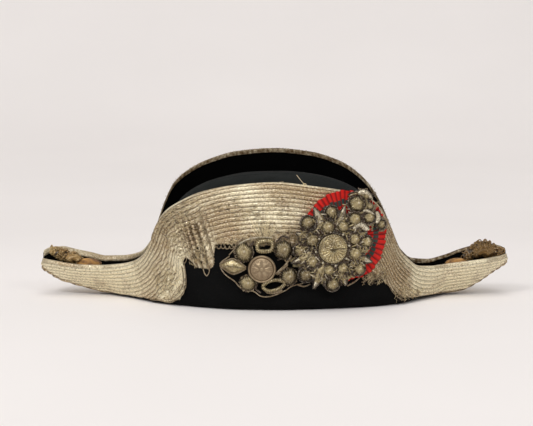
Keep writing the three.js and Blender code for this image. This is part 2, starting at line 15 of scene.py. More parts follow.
import bpy
import numpy as np
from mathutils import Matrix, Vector

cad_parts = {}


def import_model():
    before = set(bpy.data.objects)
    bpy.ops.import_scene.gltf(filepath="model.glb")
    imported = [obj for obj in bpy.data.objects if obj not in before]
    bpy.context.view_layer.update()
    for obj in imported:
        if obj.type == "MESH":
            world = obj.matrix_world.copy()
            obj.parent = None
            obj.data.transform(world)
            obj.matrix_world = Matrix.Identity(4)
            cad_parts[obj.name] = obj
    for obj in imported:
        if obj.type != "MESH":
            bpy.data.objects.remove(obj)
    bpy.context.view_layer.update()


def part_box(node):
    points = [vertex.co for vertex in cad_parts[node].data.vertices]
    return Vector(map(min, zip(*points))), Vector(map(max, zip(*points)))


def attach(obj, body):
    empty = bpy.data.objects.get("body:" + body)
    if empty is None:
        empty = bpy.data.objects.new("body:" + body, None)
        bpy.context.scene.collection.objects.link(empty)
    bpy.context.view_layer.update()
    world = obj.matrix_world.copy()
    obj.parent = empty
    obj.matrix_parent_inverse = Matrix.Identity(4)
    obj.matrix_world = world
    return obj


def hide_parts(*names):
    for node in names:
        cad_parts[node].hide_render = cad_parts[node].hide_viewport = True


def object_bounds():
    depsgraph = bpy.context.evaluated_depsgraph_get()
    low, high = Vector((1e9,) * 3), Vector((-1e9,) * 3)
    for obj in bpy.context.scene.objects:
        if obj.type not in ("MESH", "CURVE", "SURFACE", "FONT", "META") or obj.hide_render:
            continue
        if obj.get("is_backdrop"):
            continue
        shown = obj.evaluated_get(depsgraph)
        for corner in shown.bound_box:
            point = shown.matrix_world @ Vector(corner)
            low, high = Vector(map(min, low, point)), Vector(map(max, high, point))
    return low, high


log = logging.getLogger("cocked_hat")

TAU = 2 * math.pi
MM = 0.001

Array = np.ndarray
Colour = tuple[float, float, float, float]
Material = bpy.types.Material
Node = bpy.types.Node
Piece = bpy.types.Object
Socket = bpy.types.NodeSocket
Tree = bpy.types.NodeTree


# The hat's form


class Flap(Enum):
    """One of the brim's two upturned flaps, by the way it faces along Y."""

    NEAR = -1
    FAR = 1


@dataclass(frozen=True)
class Section:
    """One section across the brim, in millimetres.

    keel is the height of its underside, flat the half-width that stays level, and roll the radius of
    the fold.
    """

    x: float
    keel: float
    flat: float
    roll: float
    near_rim: float
    near_half: float
    far_rim: float
    far_half: float


SECTIONS: tuple[Section, ...] = (
    Section(-221, 27.5, 0.4, 2.8, 32, 4, 37, 4),
    Section(-218, 24.5, 0.4, 3.2, 32, 6.5, 39, 6.5),
    Section(-212, 20.5, 0.4, 4, 31.5, 11.5, 41, 11.5),
    Section(-203, 15.2, 0.4, 5, 30.6, 15.5, 41, 15.5),
    Section(-190, 10.8, 0.4, 6, 28.8, 18.5, 37.8, 18.5),
    Section(-176, 6.5, 0.4, 7, 28.1, 21.5, 34.2, 21.5),
    Section(-160, 2.6, 1, 8, 28.4, 24.5, 30.3, 24.5),
    Section(-145, 2.3, 10, 8, 30.2, 28.5, 30.3, 28.5),
    Section(-130, 1.2, 22, 8, 34.6, 34.5, 33, 34.5),
    Section(-120, 0.4, 32, 8, 42.5, 41, 43.5, 41),
    Section(-113, 0, 39, 8, 56, 46.5, 62.5, 46.5),
    Section(-106, 0, 45, 8, 74, 52, 82.5, 52),
    Section(-98, 0, 50.5, 8, 84.8, 58, 98, 58),
    Section(-85, 0, 59, 8, 93.8, 65.5, 109.5, 65.5),
    Section(-65, 0, 69, 8, 103.2, 73, 119.6, 73),
    Section(-35, 0, 79, 8, 109.6, 78, 127.6, 78),
    Section(0, 0, 82, 8, 112.2, 79.5, 130.2, 79.5),
    Section(35, 0, 78.5, 8, 108.4, 78, 127, 78),
    Section(65, 0, 72, 8, 103.4, 73, 118, 73),
    Section(85, 0, 66, 8, 96.5, 66, 105, 66),
    Section(96, 0, 61.5, 8, 86.5, 60, 92.5, 60),
    Section(104, 0, 57, 8, 71, 54.5, 79, 54.5),
    Section(113, 0, 51, 8, 49.5, 46.5, 56.5, 46.5),
    Section(122, 0.5, 43, 8, 38.6, 39.5, 36.5, 39.5),
    Section(133, 2.2, 31, 8, 30.4, 34, 27.6, 34),
    Section(147, 3.2, 17, 8, 29, 28.5, 26.9, 28.5),
    Section(162, 3.2, 3, 8, 29.9, 24.5, 30.8, 24.5),
    Section(178, 5.0, 0.4, 7, 31.4, 21.5, 37.4, 21.5),
    Section(192, 12.0, 0.4, 6, 32.8, 18.5, 41.6, 18.5),
    Section(205, 21.5, 0.4, 4.5, 34.2, 14.5, 43.2, 14.5),
    Section(213, 26.5, 0.4, 3.4, 35.2, 10.5, 42.5, 10.5),
    Section(218, 30.0, 0.4, 3, 36.5, 6.5, 41, 6.5),
    Section(221, 32.0, 0.4, 2.8, 37, 4, 40, 4),
)
FELT = 2.4
BOW = 0.022
BRIM_END = 219.0


class SmoothColumn:
    """A smooth curve through a table's column, with no overshoot between its rows."""

    def __init__(self, x: Sequence[float], y: Sequence[float]) -> None:
        """Works out the slope at each row.

        Args:
            x: where each row is.
            y: the value there.
        """
        self.x = np.asarray(x, float)
        self.y = np.asarray(y, float)
        slope = np.diff(self.y) / np.diff(self.x)
        before, after = slope[:-1], slope[1:]
        turning = before * after <= 0
        mean = 2 * before * after / np.where(turning, 1, before + after)
        self.pull = np.concatenate([slope[:1], np.where(turning, 0, mean), slope[-1:]])

    def __call__(self, at: Array | float) -> Array:
        """The column's value at each place, held at its ends."""
        at = np.clip(np.asarray(at, float), self.x[0], self.x[-1])
        i = np.clip(np.searchsorted(self.x, at, side="right") - 1, 0, len(self.x) - 2)
        width = self.x[i + 1] - self.x[i]
        t = (at - self.x[i]) / width
        ends = self.y[i] * (1 + 2 * t) * (1 - t) ** 2 + self.y[i + 1] * t * t * (3 - 2 * t)
        return ends + width * (self.pull[i] * t * (1 - t) ** 2 - self.pull[i + 1] * t * t * (1 - t))


class HatForm:
    """The brim's outer face as a surface of x and girth, the distance up from the fold."""

    def __init__(self) -> None:
        """Makes a curve of each column of the sections, and each flap's flat map."""
        x = [s.x for s in SECTIONS]
        names = ("keel", "flat", "roll", "near_rim", "near_half", "far_rim", "far_half")
        self.column = {n: SmoothColumn(x, [getattr(s, n) for s in SECTIONS]) for n in names}
        self.fine = np.arange(-220.5, 220.51, 0.5)
        self.runs = {flap: self._runs(flap) for flap in Flap}

    def _runs(self, flap: Flap) -> Array:
        """The distance along the flap's face to each fine x, from the middle."""
        mean = (self.column["flat"](self.fine) + self.half(flap, self.fine)) / 2
        run = np.concatenate([[0], np.cumsum(np.hypot(0.5, np.diff(mean)))])
        return run - np.interp(0, self.fine, run)

    def rim(self, flap: Flap, x: Array) -> Array:
        """The height of a flap's top edge."""
        return self.column["near_rim" if flap is Flap.NEAR else "far_rim"](x)

    def half(self, flap: Flap, x: Array) -> Array:
        """The half-width at a flap's top edge."""
        return self.column["near_half" if flap is Flap.NEAR else "far_half"](x)

    def run_of(self, flap: Flap, x: Array | float) -> Array:
        """The distance along a flap's face to x."""
        return np.interp(x, self.fine, self.runs[flap])

    def x_of(self, flap: Flap, run: Array | float) -> Array:
        """The x that lies this distance along a flap's face."""
        return np.interp(run, self.runs[flap], self.fine)

    def fold(self, flap: Flap, x: Array) -> tuple[Array, ...]:
        """The numbers of a flap's section.

        Args:
            flap: which flap.
            x: where the sections are.

        Returns:
            keel, flat, roll, half, rim, the angle where the wall leaves the fold, the fold's arc and the
            wall's line.
        """
        keel, flat, roll = (self.column[n](x) for n in ("keel", "flat", "roll"))
        half, rim = self.half(flap, x), self.rim(flap, x)
        reach = np.hypot(half - flat, rim - keel - roll)
        tangent = np.arctan2(rim - keel - roll, half - flat) - np.arccos(roll / reach)
        arc, line = roll * (tangent + math.pi / 2), np.sqrt(reach**2 - roll**2)
        return keel, flat, roll, half, rim, tangent, arc, line

    def girth(self, flap: Flap, x: Array) -> Array:
        """The distance up a flap from its fold to its rim."""
        *_, arc, line = self.fold(flap, x)
        return arc + line

    def point(self, flap: Flap, x: Array, b: Array) -> Array:
        """Points of the brim's outer face.

        Args:
            flap: which flap.
            x: their places along the hat.
            b: their girths. Below the fold, they run in along the underside.

        Returns:
            An array of points, in millimetres.
        """
        x, b = np.broadcast_arrays(np.asarray(x, float), np.asarray(b, float))
        keel, flat, roll, half, rim, tangent, arc, line = self.fold(flap, x)
        turn = np.clip(b, 0, arc) / roll - math.pi / 2
        y = flat + roll * np.cos(turn) + np.minimum(b, 0)
        z = keel + roll * (1 + np.sin(turn))
        f = np.maximum(b - arc, 0) / line
        bow = BOW * line * np.sin(math.pi * np.minimum(f, 1)) ** 2
        y = y + f * (half - (flat + roll * np.cos(tangent))) + bow * np.cos(tangent)
        z = z + f * (rim - (keel + roll * (1 + np.sin(tangent)))) + bow * np.sin(tangent)
        return np.stack([x, flap.value * y, z], -1)

    def normal(self, flap: Flap, x: Array, b: Array, level: bool = False) -> Array:
        """The outer face's outward normals, or with level their part across the hat, made unit."""
        x, b = np.broadcast_arrays(np.asarray(x, float), np.asarray(b, float))
        along = self.point(flap, x + 0.5, b) - self.point(flap, x - 0.5, b)
        up = self.point(flap, x, b + 0.5) - self.point(flap, x, b - 0.5)
        n = np.cross(up, along) * flap.value
        if level:
            n[..., 0] = 0
        return n / np.linalg.norm(n, axis=-1, keepdims=True)

    def lifted(self, flap: Flap, x: Array, b: Array, lift: Array | float) -> Array:
        """Points that stand off the outer face."""
        return self.point(flap, x, b) + self.normal(flap, x, b) * np.asarray(lift, float)[..., None]

    def on_flap(self, run: Array, b: Array, lift: Array | float) -> Array:
        """Points over the near flap, from its flat map."""
        x = self.x_of(Flap.NEAR, run)
        return self.lifted(Flap.NEAR, x, b, np.broadcast_to(lift, np.shape(x)))

    def spot(self, x: float, z: float) -> Array:
        """The near flap's place at x and height z, as run and girth on its flat map."""
        keel, _, roll, _, rim, tangent, arc, line = self.fold(Flap.NEAR, np.array(x))
        foot = keel + roll * (1 + np.sin(tangent))
        return np.array([self.run_of(Flap.NEAR, x), arc + line * (z - foot) / (rim - foot)])


# Meshes


class Workshop:
    """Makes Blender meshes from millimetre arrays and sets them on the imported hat."""

    def __init__(self) -> None:
        """Finds where the hat's own frame lies in the row frame, from the crown."""
        low, high = (np.array(c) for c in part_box("crown"))
        middle = (low + high) / 2
        self.shift = np.array([middle[0], middle[1], low[2]]) / MM
        self.form = HatForm()

    def to_row(self, points: Array) -> Array:
        """Points in the row frame, in metres."""
        return (np.asarray(points, float) + self.shift) * MM

    def mesh(
        self,
        name: str,
        points: Array,
        faces: Array,
        finish: Material | Sequence[Material],
        uv: Array | None = None,
        marks: dict[str, Array] | None = None,
        which: Array | None = None,
    ) -> Piece:
        """Makes a smooth-shaded piece of quads or triangles.

        Args:
            name: the piece's name.
            points: its vertices, in millimetres in the hat's frame.
            faces: an array of vertex numbers, a row for each face.
            finish: its material, or several.
            uv: a pair of numbers for each vertex, in millimetres over the surface.
            marks: named numbers for each vertex, which its material reads.
            which: the number of each face's material.

        Returns:
            The new object.
        """
        flat = self.to_row(points.reshape(-1, 3)).astype(np.float32)
        faces = np.asarray(faces, np.int32)
        count, corners = faces.shape
        mesh = bpy.data.meshes.new(name)
        mesh.vertices.add(len(flat))
        mesh.vertices.foreach_set("co", flat.ravel())
        mesh.loops.add(count * corners)
        mesh.loops.foreach_set("vertex_index", faces.ravel())
        mesh.polygons.add(count)
        mesh.polygons.foreach_set("loop_start", np.arange(0, count * corners, corners, dtype=np.int32))
        mesh.polygons.foreach_set("use_smooth", np.ones(count, bool))
        finishes = [finish] if isinstance(finish, Material) else list(finish)
        for material in finishes:
            mesh.materials.append(material)
        if which is not None:
            mesh.polygons.foreach_set("material_index", np.asarray(which, np.int32))
        if uv is not None:
            layer = mesh.uv_layers.new(name="surface")
            layer.data.foreach_set("uv", uv.reshape(-1, 2)[faces.ravel()].astype(np.float32).ravel())
        for mark, values in (marks or {}).items():
            layer = mesh.attributes.new(mark, "FLOAT", "POINT")
            layer.data.foreach_set("value", values.astype(np.float32).ravel())
        mesh.update(calc_edges=True)
        mesh.validate()
        piece = bpy.data.objects.new(name, mesh)
        bpy.context.collection.objects.link(piece)
        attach(piece, "root")
        return piece


def grid_faces(rows: int, columns: int, wrap_rows: bool = False, wrap_columns: bool = False) -> Array:
    """Quads over a grid of vertices numbered row by row.

    Args:
        rows: how many rows of vertices there are.
        columns: how many in each.
        wrap_rows: whether the last row meets the first.
        wrap_columns: whether each row's last vertex meets its first.

    Returns:
        An array of four vertex numbers for each quad.
    """
    i = np.arange(rows if wrap_rows else rows - 1)[:, None]
    j = np.arange(columns if wrap_columns else columns - 1)[None, :]
    i2, j2 = (i + 1) % rows, (j + 1) % columns
    quads = [i * columns + j, i2 * columns + j, i2 * columns + j2, i * columns + j2]
    return np.stack(quads, -1).reshape(-1, 4)


def smoothstep(low: float, high: float, value: Array) -> Array:
    """Rises smoothly from 0 at low to 1 at high."""
    t = np.clip((value - low) / (high - low), 0, 1)
    return t * t * (3 - 2 * t)


def bump(value: Array, middle: float, width: float) -> Array:
    """A smooth hump of height 1."""
    return np.exp(-(((value - middle) / width) ** 2))


class Ripple:
    """A smooth random surface of two numbers, the same in every run."""

    def __init__(self, seed: int, waves: int = 24) -> None:
        """Draws its waves.

        Args:
            seed: chooses them.
            waves: how many there are.
        """
        rng = np.random.default_rng(seed)
        angle = rng.uniform(0, TAU, waves)
        rate = rng.uniform(0.6, 1.5, waves)
        self.u, self.v = rate * np.cos(angle), rate * np.sin(angle)
        self.phase = rng.uniform(0, TAU, waves)

    def __call__(self, u: Array, v: Array) -> Array:
        """Its height, mostly between -1 and 1, over features about 2 pi across."""
        u, v = np.broadcast_arrays(np.asarray(u, float), np.asarray(v, float))
        total = np.zeros(u.shape)
        for a, b, p in zip(self.u, self.v, self.phase):
            total += np.sin(a * u + b * v + p)
        return total / math.sqrt(len(self.phase) / 2) * 0.7


@dataclass
class Bundle:
    """Many small surfaces and threads, gathered into one mesh."""

    sides: int = 6
    points: list[Array] = field(default_factory=list)
    faces: list[Array] = field(default_factory=list)
    uv: list[Array] = field(default_factory=list)
    # How far painted shade darkens each vertex.
    shade_and_specks: list[Array] = field(default_factory=list)
    which: list[Array] = field(default_factory=list)
    total: int = 0

    def surface(
        self, points: Array, faces: Array, uv: Array, shade_and_specks: Array | float = 0.0, finish: int = 0
    ) -> None:
        """Adds a surface.

        Args:
            points: its vertices.
            faces: four vertex numbers for each face.
            uv: a pair of numbers for each vertex, in millimetres over the surface.
            shade_and_specks: how far each vertex is darkened by painted shade in its crevice.
            finish: the number of its material.
        """
        flat = points.reshape(-1, 3)
        self.points.append(flat)
        self.faces.append(faces + self.total)
        self.uv.append(np.broadcast_to(uv, (*points.shape[:-1], 2)).reshape(-1, 2))
        self.shade_and_specks.append(np.broadcast_to(shade_and_specks, points.shape[:-1]).ravel())
        self.which.append(np.full(len(faces), finish))
        self.total += len(flat)

    def thread(
        self, path: Array, radius: float | Array, finish: int = 0, closed: bool = False, twist: float = 0.0
    ) -> None:
        """Adds a round thread.

        Args:
            path: points along its middle, in millimetres.
            radius: its radius, or one for each point.
            finish: the number of its material.
            closed: whether its end meets its start.
            twist: the pitch of the wraps that ridge it, or 0 for none.
        """
        path = np.asarray(path, float)
        if twist:
            path = even_path(path, twist / 4, closed)
            if np.ndim(radius):
                radius = np.interp(np.linspace(0, 1, len(path)), np.linspace(0, 1, len(radius)), radius)
        n = len(path)
        length = lengths(path)
        normal, side = turning_frame(path, closed)
        angle = np.arange(self.sides) * TAU / self.sides
        ring = normal[:, None] * np.cos(angle)[None, :, None] + side[:, None] * np.sin(angle)[None, :, None]
        reach = np.broadcast_to(np.reshape(np.asarray(radius, float), (-1, 1)), (n, self.sides))
        shade_and_specks = np.zeros((n, self.sides))
        if twist:
            wave = np.cos(TAU * length[:, None] / twist + angle[None, :])
            reach = reach * (1 + 0.16 * wave)
            # Painted shade in the grooves between the wraps.
            shade_and_specks = smoothstep(0.1, -0.9, wave)
        points = path[:, None] + ring * reach[..., None]
        faces = grid_faces(n, self.sides, closed, True)
        if not closed:
            fan = np.array([[0, k, k + 1, k + 1] for k in range(1, self.sides - 1)])
            faces = np.concatenate([faces, fan[:, [0, 2, 1, 1]], fan + (n - 1) * self.sides])
        uv = together(length[:, None], (angle * np.mean(radius))[None, :])
        self.surface(points, faces, uv, shade_and_specks, finish)

    def make(
        self, shop: Workshop, name: str, finishes: Sequence[Material], nodes: Sequence[str] = ()
    ) -> Piece:
        """Makes the piece.

        Args:
            shop: makes its mesh.
            name: the piece's name.
            finishes: its materials.
            nodes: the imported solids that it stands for.

        Returns:
            The piece.
        """
        marks = {"shade_and_specks": np.concatenate(self.shade_and_specks)}
        faces, which = np.concatenate(self.faces), np.concatenate(self.which)
        piece = shop.mesh(
            name, np.concatenate(self.points), faces, finishes, np.concatenate(self.uv), marks, which
        )
        if nodes:
            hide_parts(*nodes)
        return piece


def lengths(path: Array) -> Array:
    """The distance along a path to each of its points."""
    return np.concatenate([[0], np.cumsum(np.linalg.norm(np.diff(path, axis=0), axis=1))])


def full_turn(count: int) -> Array:
    """Angles spread evenly round a circle."""
    return np.arange(count) / count * TAU


def together(*parts: Array | float) -> Array:
    """Numbers spread over one shape and stacked as points."""
    return np.stack(np.broadcast_arrays(*parts), -1)


def even_path(path: Array, step: float, closed: bool = False) -> Array:
    """A path with points spread evenly, about a step apart."""
    if closed:
        path = np.vstack([path, path[:1]])
    along = lengths(path)
    count = max(int(along[-1] / step), 4)
    at = np.linspace(0, along[-1], count, endpoint=not closed)
    return np.stack([np.interp(at, along, path[:, k]) for k in range(path.shape[1])], -1)


def turning_frame(path: Array, closed: bool) -> tuple[Array, Array]:
    """Two directions across a path at each point, which turn as little as they can along it."""
    if closed:
        step = np.roll(path, -1, 0) - np.roll(path, 1, 0)
    else:
        step = np.gradient(path, axis=0)
    tangent = step / (np.linalg.norm(step, axis=1, keepdims=True) + 1e-9)
    first = np.cross(tangent[0], [0.31, 0.23, 0.92])
    normal = np.empty_like(tangent)
    normal[0] = first / np.linalg.norm(first)
    for i in range(1, len(path)):
        across = normal[i - 1] - tangent[i] * (normal[i - 1] @ tangent[i])
        normal[i] = across / (np.linalg.norm(across) + 1e-9)
    return normal, np.cross(tangent, normal)


def through(points: Sequence[Sequence[float]], count: int, closed: bool = False) -> Array:
    """A smooth path through a few points.

    Args:
        points: the points, of any number of dimensions.
        count: how many points the path has.
        closed: whether it comes back to its start.

    Returns:
        The path's points, evenly spread between the given ones.
    """
    p = np.asarray(points, float)
    if closed:
        p = np.vstack([p[-1:], p, p[:2]])
    else:
        p = np.vstack([2 * p[:1] - p[1:2], p, 2 * p[-1:] - p[-2:-1]])
    spans = len(p) - 3
    at = np.linspace(0, spans, count, endpoint=not closed)
    i = np.minimum(at.astype(int), spans - 1)
    t = (at - i)[:, None]
    a, b, c, d = p[i], p[i + 1], p[i + 2], p[i + 3]
    return 0.5 * (2 * b + (c - a) * t + (2 * a - 5 * b + 4 * c - d) * t**2 + (3 * b - a - 3 * c + d) * t**3)


# Finishes


def srgb(red: int, green: int, blue: int) -> Colour:
    """A linear colour from three display numbers up to 255."""
    linear = [((c / 255 + 0.055) / 1.055) ** 2.4 if c > 10 else c / 255 / 12.92 for c in (red, green, blue)]
    return (*linear, 1.0)


class NodeBuilder:
    """Adds nodes to a tree with less writing."""

    def __init__(self, tree: Tree) -> None:
        """Keeps the tree.

        Args:
            tree: where the nodes go.
        """
        self.tree = tree

    def add(self, kind: str, inputs: dict | None = None, **settings: object) -> Node:
        """Adds a node.

        Args:
            kind: its type.
            inputs: a value or a socket to link for each named or numbered input.
            **settings: its properties.

        Returns:
            The node.
        """
        node = self.tree.nodes.new(kind)
        for key, value in settings.items():
            setattr(node, key, value)
        for key, value in (inputs or {}).items():
            self.feed(node.inputs[key], value)
        return node

    def feed(self, socket: Socket, value: object) -> None:
        """Links a socket to another's output, or sets its value."""
        if isinstance(value, Socket):
            self.tree.links.new(value, socket)
        else:
            socket.default_value = value

    def math(self, operation: str, first: object, second: object = 0.0, clamp: bool = False) -> Socket:
        """The result of a sum of two numbers or sockets."""
        node = self.add("ShaderNodeMath", {0: first, 1: second}, operation=operation, use_clamp=clamp)
        return node.outputs[0]

    def times(self, first: object, second: object, clamp: bool = False) -> Socket:
        """The product of two numbers or sockets."""
        return self.math("MULTIPLY", first, second, clamp)

    def blended(self, first: object, second: object) -> Socket:
        """Two heights in one, of which the first counts for more."""
        return self.math("ADD", self.times(first, 0.6), self.times(second, 0.4))

    def tinted(self, colour: object, tint: object) -> Socket:
        """A colour multiplied by another."""
        return self.mix(1.0, colour, tint, "MULTIPLY")

    def mark(self, name: str) -> Socket:
        """A number that the mesh holds for each of its vertices."""
        return self.add("ShaderNodeAttribute", attribute_name=name).outputs["Fac"]

    def mix(self, factor: object, first: object, second: object, blend: str = "MIX") -> Socket:
        """Two colours mixed."""
        node = self.add("ShaderNodeMix", data_type="RGBA", blend_type=blend)
        for index, value in ((0, factor), (6, first), (7, second)):
            self.feed(node.inputs[index], value)
        return node.outputs[2]

    def stretch(
        self, value: object, low: float, high: float, to: tuple[float, float] = (0.0, 1.0)
    ) -> Socket:
        """A number moved from one range to another and held there."""
        inputs = {"Value": value, "From Min": low, "From Max": high, "To Min": to[0], "To Max": to[1]}
        return self.add("ShaderNodeMapRange", inputs).outputs[0]

    def noise(self, place: object, scale: float, detail: float = 3.0, rough: float = 0.5) -> Socket:
        """A noise over a place, in features per unit of it."""
        inputs = {"Vector": place, "Scale": scale, "Detail": detail, "Roughness": rough}
        return self.add("ShaderNodeTexNoise", inputs).outputs["Fac"]

    def place(self, socket: object, scale: tuple[float, float, float]) -> Socket:
        """A place with each direction scaled."""
        return self.add("ShaderNodeMapping", {"Vector": socket, "Scale": scale}).outputs[0]


class EffectGroups:
    """The effects that several finishes share, each a node group built once."""

    def __init__(self) -> None:
        """Builds the groups."""
        self.tarnish = self._tarnish()
        self.thread_work = self._thread_work()
        self.dust = self._dust()
        self.cloth_grain = self._cloth_grain()

    @staticmethod
    def _start(
        name: str, values: dict[str, Colour | float | None], outputs: Sequence[str]
    ) -> tuple[Tree, NodeBuilder, Sequence[Socket]]:
        """A new group.

        Args:
            name: its name.
            values: the first value of each input. None makes it a vector.
            outputs: the outputs' names. Colour is a colour, and any other is a number.

        Returns:
            The group, a builder for it and the sockets that give its inputs.
        """
        tree = bpy.data.node_groups.new(name, "ShaderNodeTree")
        for title, value in values.items():
            kind = "Vector" if value is None else "Color" if isinstance(value, tuple) else "Float"
            socket = tree.interface.new_socket(title, in_out="INPUT", socket_type="NodeSocket" + kind)
            if value is not None:
                socket.default_value = value
        for title in outputs:
            kind = "Color" if title == "Colour" else "Float"
            tree.interface.new_socket(title, in_out="OUTPUT", socket_type="NodeSocket" + kind)
        b = NodeBuilder(tree)
        return tree, b, b.add("NodeGroupInput").outputs

    def _tarnish(self) -> Tree:
        """Metal that has dulled and browned in cloudy patches."""
        values = {
            "Place": None,
            "Bright": srgb(210, 196, 168),
            "Dull": srgb(140, 122, 96),
            "Stain": srgb(120, 84, 52),
            "Amount": 0.5,
            "Stain Amount": 0.3,
        }
        tree, b, given = self._start("tarnish", values, ("Colour", "Mask"))
        cloud = b.noise(given["Place"], 28.0, 5.0, 0.62)
        fine = b.noise(given["Place"], 420.0, 4.0, 0.7)
        more = b.times(b.math("SUBTRACT", given["Amount"], 0.5), 0.5)
        mask = b.stretch(b.math("ADD", b.blended(cloud, fine), more), 0.4, 0.62)
        stains = b.stretch(b.noise(given["Place"], 62.0, 4.0, 0.65), 0.54, 0.68)
        stains = b.times(stains, given["Stain Amount"], clamp=True)
        colour = b.mix(stains, b.mix(mask, given["Bright"], given["Dull"]), given["Stain"])
        b.add("NodeGroupOutput", {"Colour": colour, "Mask": b.math("MAXIMUM", mask, stains)})
        return tree

    def _thread_work(self) -> Tree:
        """Fine metal thread, with painted glints on the high places of its bump and painted shade on the low
        ones.
        """
        values = {"Surface": None, "Colour": srgb(200, 180, 150), "Fineness": 1.0, "Glitter": 0.5}
        tree, b, given = self._start("thread work", values, ("Colour", "Height", "Spark"))
        streaks = b.noise(b.place(given["Surface"], (0.55, 1.25, 1.0)), given["Fineness"], 3.0, 0.7)
        grit = b.noise(b.place(given["Surface"], (1.1, 1.3, 1.0)), given["Fineness"], 2.0, 0.8)
        height = b.blended(streaks, grit)
        # Painted highlight and shade: where the bump is high the colour goes towards white, and where it is
        # low towards a darker tint.
        spark = b.stretch(height, 0.52, 0.6)
        painted_pit_shade = b.times(b.stretch(height, 0.49, 0.41), given["Glitter"])
        dark = b.mix(painted_pit_shade, given["Colour"], b.tinted(given["Colour"], srgb(132, 112, 88)))
        painted_glint = b.times(b.times(spark, given["Glitter"]), 0.9)
        colour = b.mix(painted_glint, dark, srgb(255, 248, 226))
        b.add("NodeGroupOutput", {"Colour": colour, "Height": height, "Spark": spark})
        return tree

    def _dust(self) -> Tree:
        """A thin grey bloom of dust that lies on what faces up."""
        values = {"Place": None, "Base": srgb(20, 20, 20), "Dust": srgb(120, 116, 106), "Amount": 0.1}
        tree, b, given = self._start("dust", values, ("Colour",))
        normal = b.add("ShaderNodeNewGeometry").outputs["Normal"]
        up = b.stretch(b.add("ShaderNodeSeparateXYZ", {0: normal}).outputs[2], -0.2, 1.0)
        patch = b.stretch(b.noise(given["Place"], 75.0, 6.0, 0.7), 0.42, 0.75)
        amount = b.times(b.times(up, patch), given["Amount"], clamp=True)
        b.add("NodeGroupOutput", {"Colour": b.mix(amount, given["Base"], given["Dust"])})
        return tree

    def _cloth_grain(self) -> Tree:
        """A fine woven or napped grain."""
        values = {"Place": None, "Threads": 1500.0, "Nap": 0.5}
        tree, b, given = self._start("cloth grain", values, ("Height",))
        x, y, z = b.add("ShaderNodeSeparateXYZ", {0: given["Place"]}).outputs
        warp = b.math("SINE", b.times(b.math("ADD", x, y), given["Threads"]))
        weft = b.math("SINE", b.times(b.math("SUBTRACT", z, y), given["Threads"]))
        nap = b.times(b.noise(given["Place"], 900.0, 4.0, 0.7), given["Nap"])
        b.add("NodeGroupOutput", {"Height": b.math("ADD", b.times(b.times(warp, weft), 0.25), nap)})
        return tree


def new_material(name: str) -> tuple[Material, NodeBuilder, Node]:
    """A new material, a builder for its nodes and its shader node."""
    material = bpy.data.materials.new(name)
    material.use_nodes = True
    shader = next(n for n in material.node_tree.nodes if n.type == "BSDF_PRINCIPLED")
    return material, NodeBuilder(material.node_tree), shader


@dataclass(frozen=True)
class Finish:
    """What every finish has, and a start for its material."""

    name: str
    groups: EffectGroups

    def start(self, **shader: object) -> tuple[Material, NodeBuilder, Node]:
        """A new material with its shader.

        Args:
            **shader: constant values for the shader's sockets, with _ for a space.

        Returns:
            The material, a builder for its nodes and its shader node.
        """
        material, b, node = new_material(self.name)
        for key, value in shader.items():
            node.inputs[key.replace("_", " ")].default_value = value
        return material, b, node

    @staticmethod
    def body_place(b: NodeBuilder) -> Socket:
        """The place on the object, in metres."""
        return b.add("ShaderNodeTexCoord").outputs["Object"]

    @staticmethod
    def surface_place(b: NodeBuilder) -> Socket:
        """The place over the piece's own surface, in millimetres."""
        return b.add("ShaderNodeUVMap", uv_map="surface").outputs[0]

    def effect(self, b: NodeBuilder, group: Tree, **values: object) -> Node:
        """Places a shared effect, with _ for a space in its inputs' names."""
        node = b.add("ShaderNodeGroup", node_tree=group)
        for key, value in values.items():
            b.feed(node.inputs[key.replace("_", " ")], value)
        return node

    @staticmethod
    def relief(b: NodeBuilder, shader: Node, height: object, depth_mm: float) -> None:
        """Feeds a height, in units of depth, to the shader's normal."""
        node = b.add("ShaderNodeBump", {"Height": height, "Distance": depth_mm * MM, "Strength": 1.0})
        b.feed(shader.inputs["Normal"], node.outputs[0])


@dataclass(frozen=True)
class MetalThread(Finish):
    """Silver or gilt thread, wound, woven or embroidered, and tarnished, with painted glints and painted
    shade in its crevices.
    """

    bright: Colour = srgb(224, 212, 186)
    dull: Colour = srgb(164, 146, 116)
    stain: Colour = srgb(130, 92, 58)
    tarnish: float = 0.45
    stained: float = 0.35
    # Painted shade: the colour that crevices darken towards; on the lace it is also the colour of the browned
    # specks.
    shade_and_specks: Colour = srgb(110, 88, 62)
    metallic: float = 0.8
    roughness: tuple[float, float] = (0.3, 0.55)
    fineness: float = 1.0
    # How strong the painted glints and the painted shade in the thread's low places are.
    glitter: float = 0.7
    depth: float = 0.6
    wear_mark: str | None = None
    shade_and_specks_mark: str | None = None

    def build(self) -> Material:
        """Makes the material."""
        material, b, shader = self.start(Metallic=self.metallic)
        amount: object = self.tarnish
        if self.wear_mark:
            amount = b.math("ADD", b.mark(self.wear_mark), self.tarnish)
        tarnish = self.effect(
            b,
            self.groups.tarnish,
            Place=self.body_place(b),
            Bright=self.bright,
            Dull=self.dull,
            Stain=self.stain,
            Amount=amount,
            Stain_Amount=self.stained,
        )
        thread = self.effect(
            b,
            self.groups.thread_work,
            Surface=self.surface_place(b),
            Colour=tarnish.outputs["Colour"],
            Fineness=self.fineness,
            Glitter=self.glitter,
        )
        colour = thread.outputs["Colour"]
        # Painted shade in the crevices, and on the lace the browned specks too.
        if self.shade_and_specks_mark:
            colour = b.mix(b.mark(self.shade_and_specks_mark), colour, b.tinted(colour, self.shade_and_specks))
        b.feed(shader.inputs["Base Color"], colour)
        low, high = self.roughness
        rough = b.stretch(thread.outputs["Spark"], 0.0, 1.0, (high, low))
        b.feed(shader.inputs["Roughness"], rough)
        self.relief(b, shader, thread.outputs["Height"], self.depth)
        return material


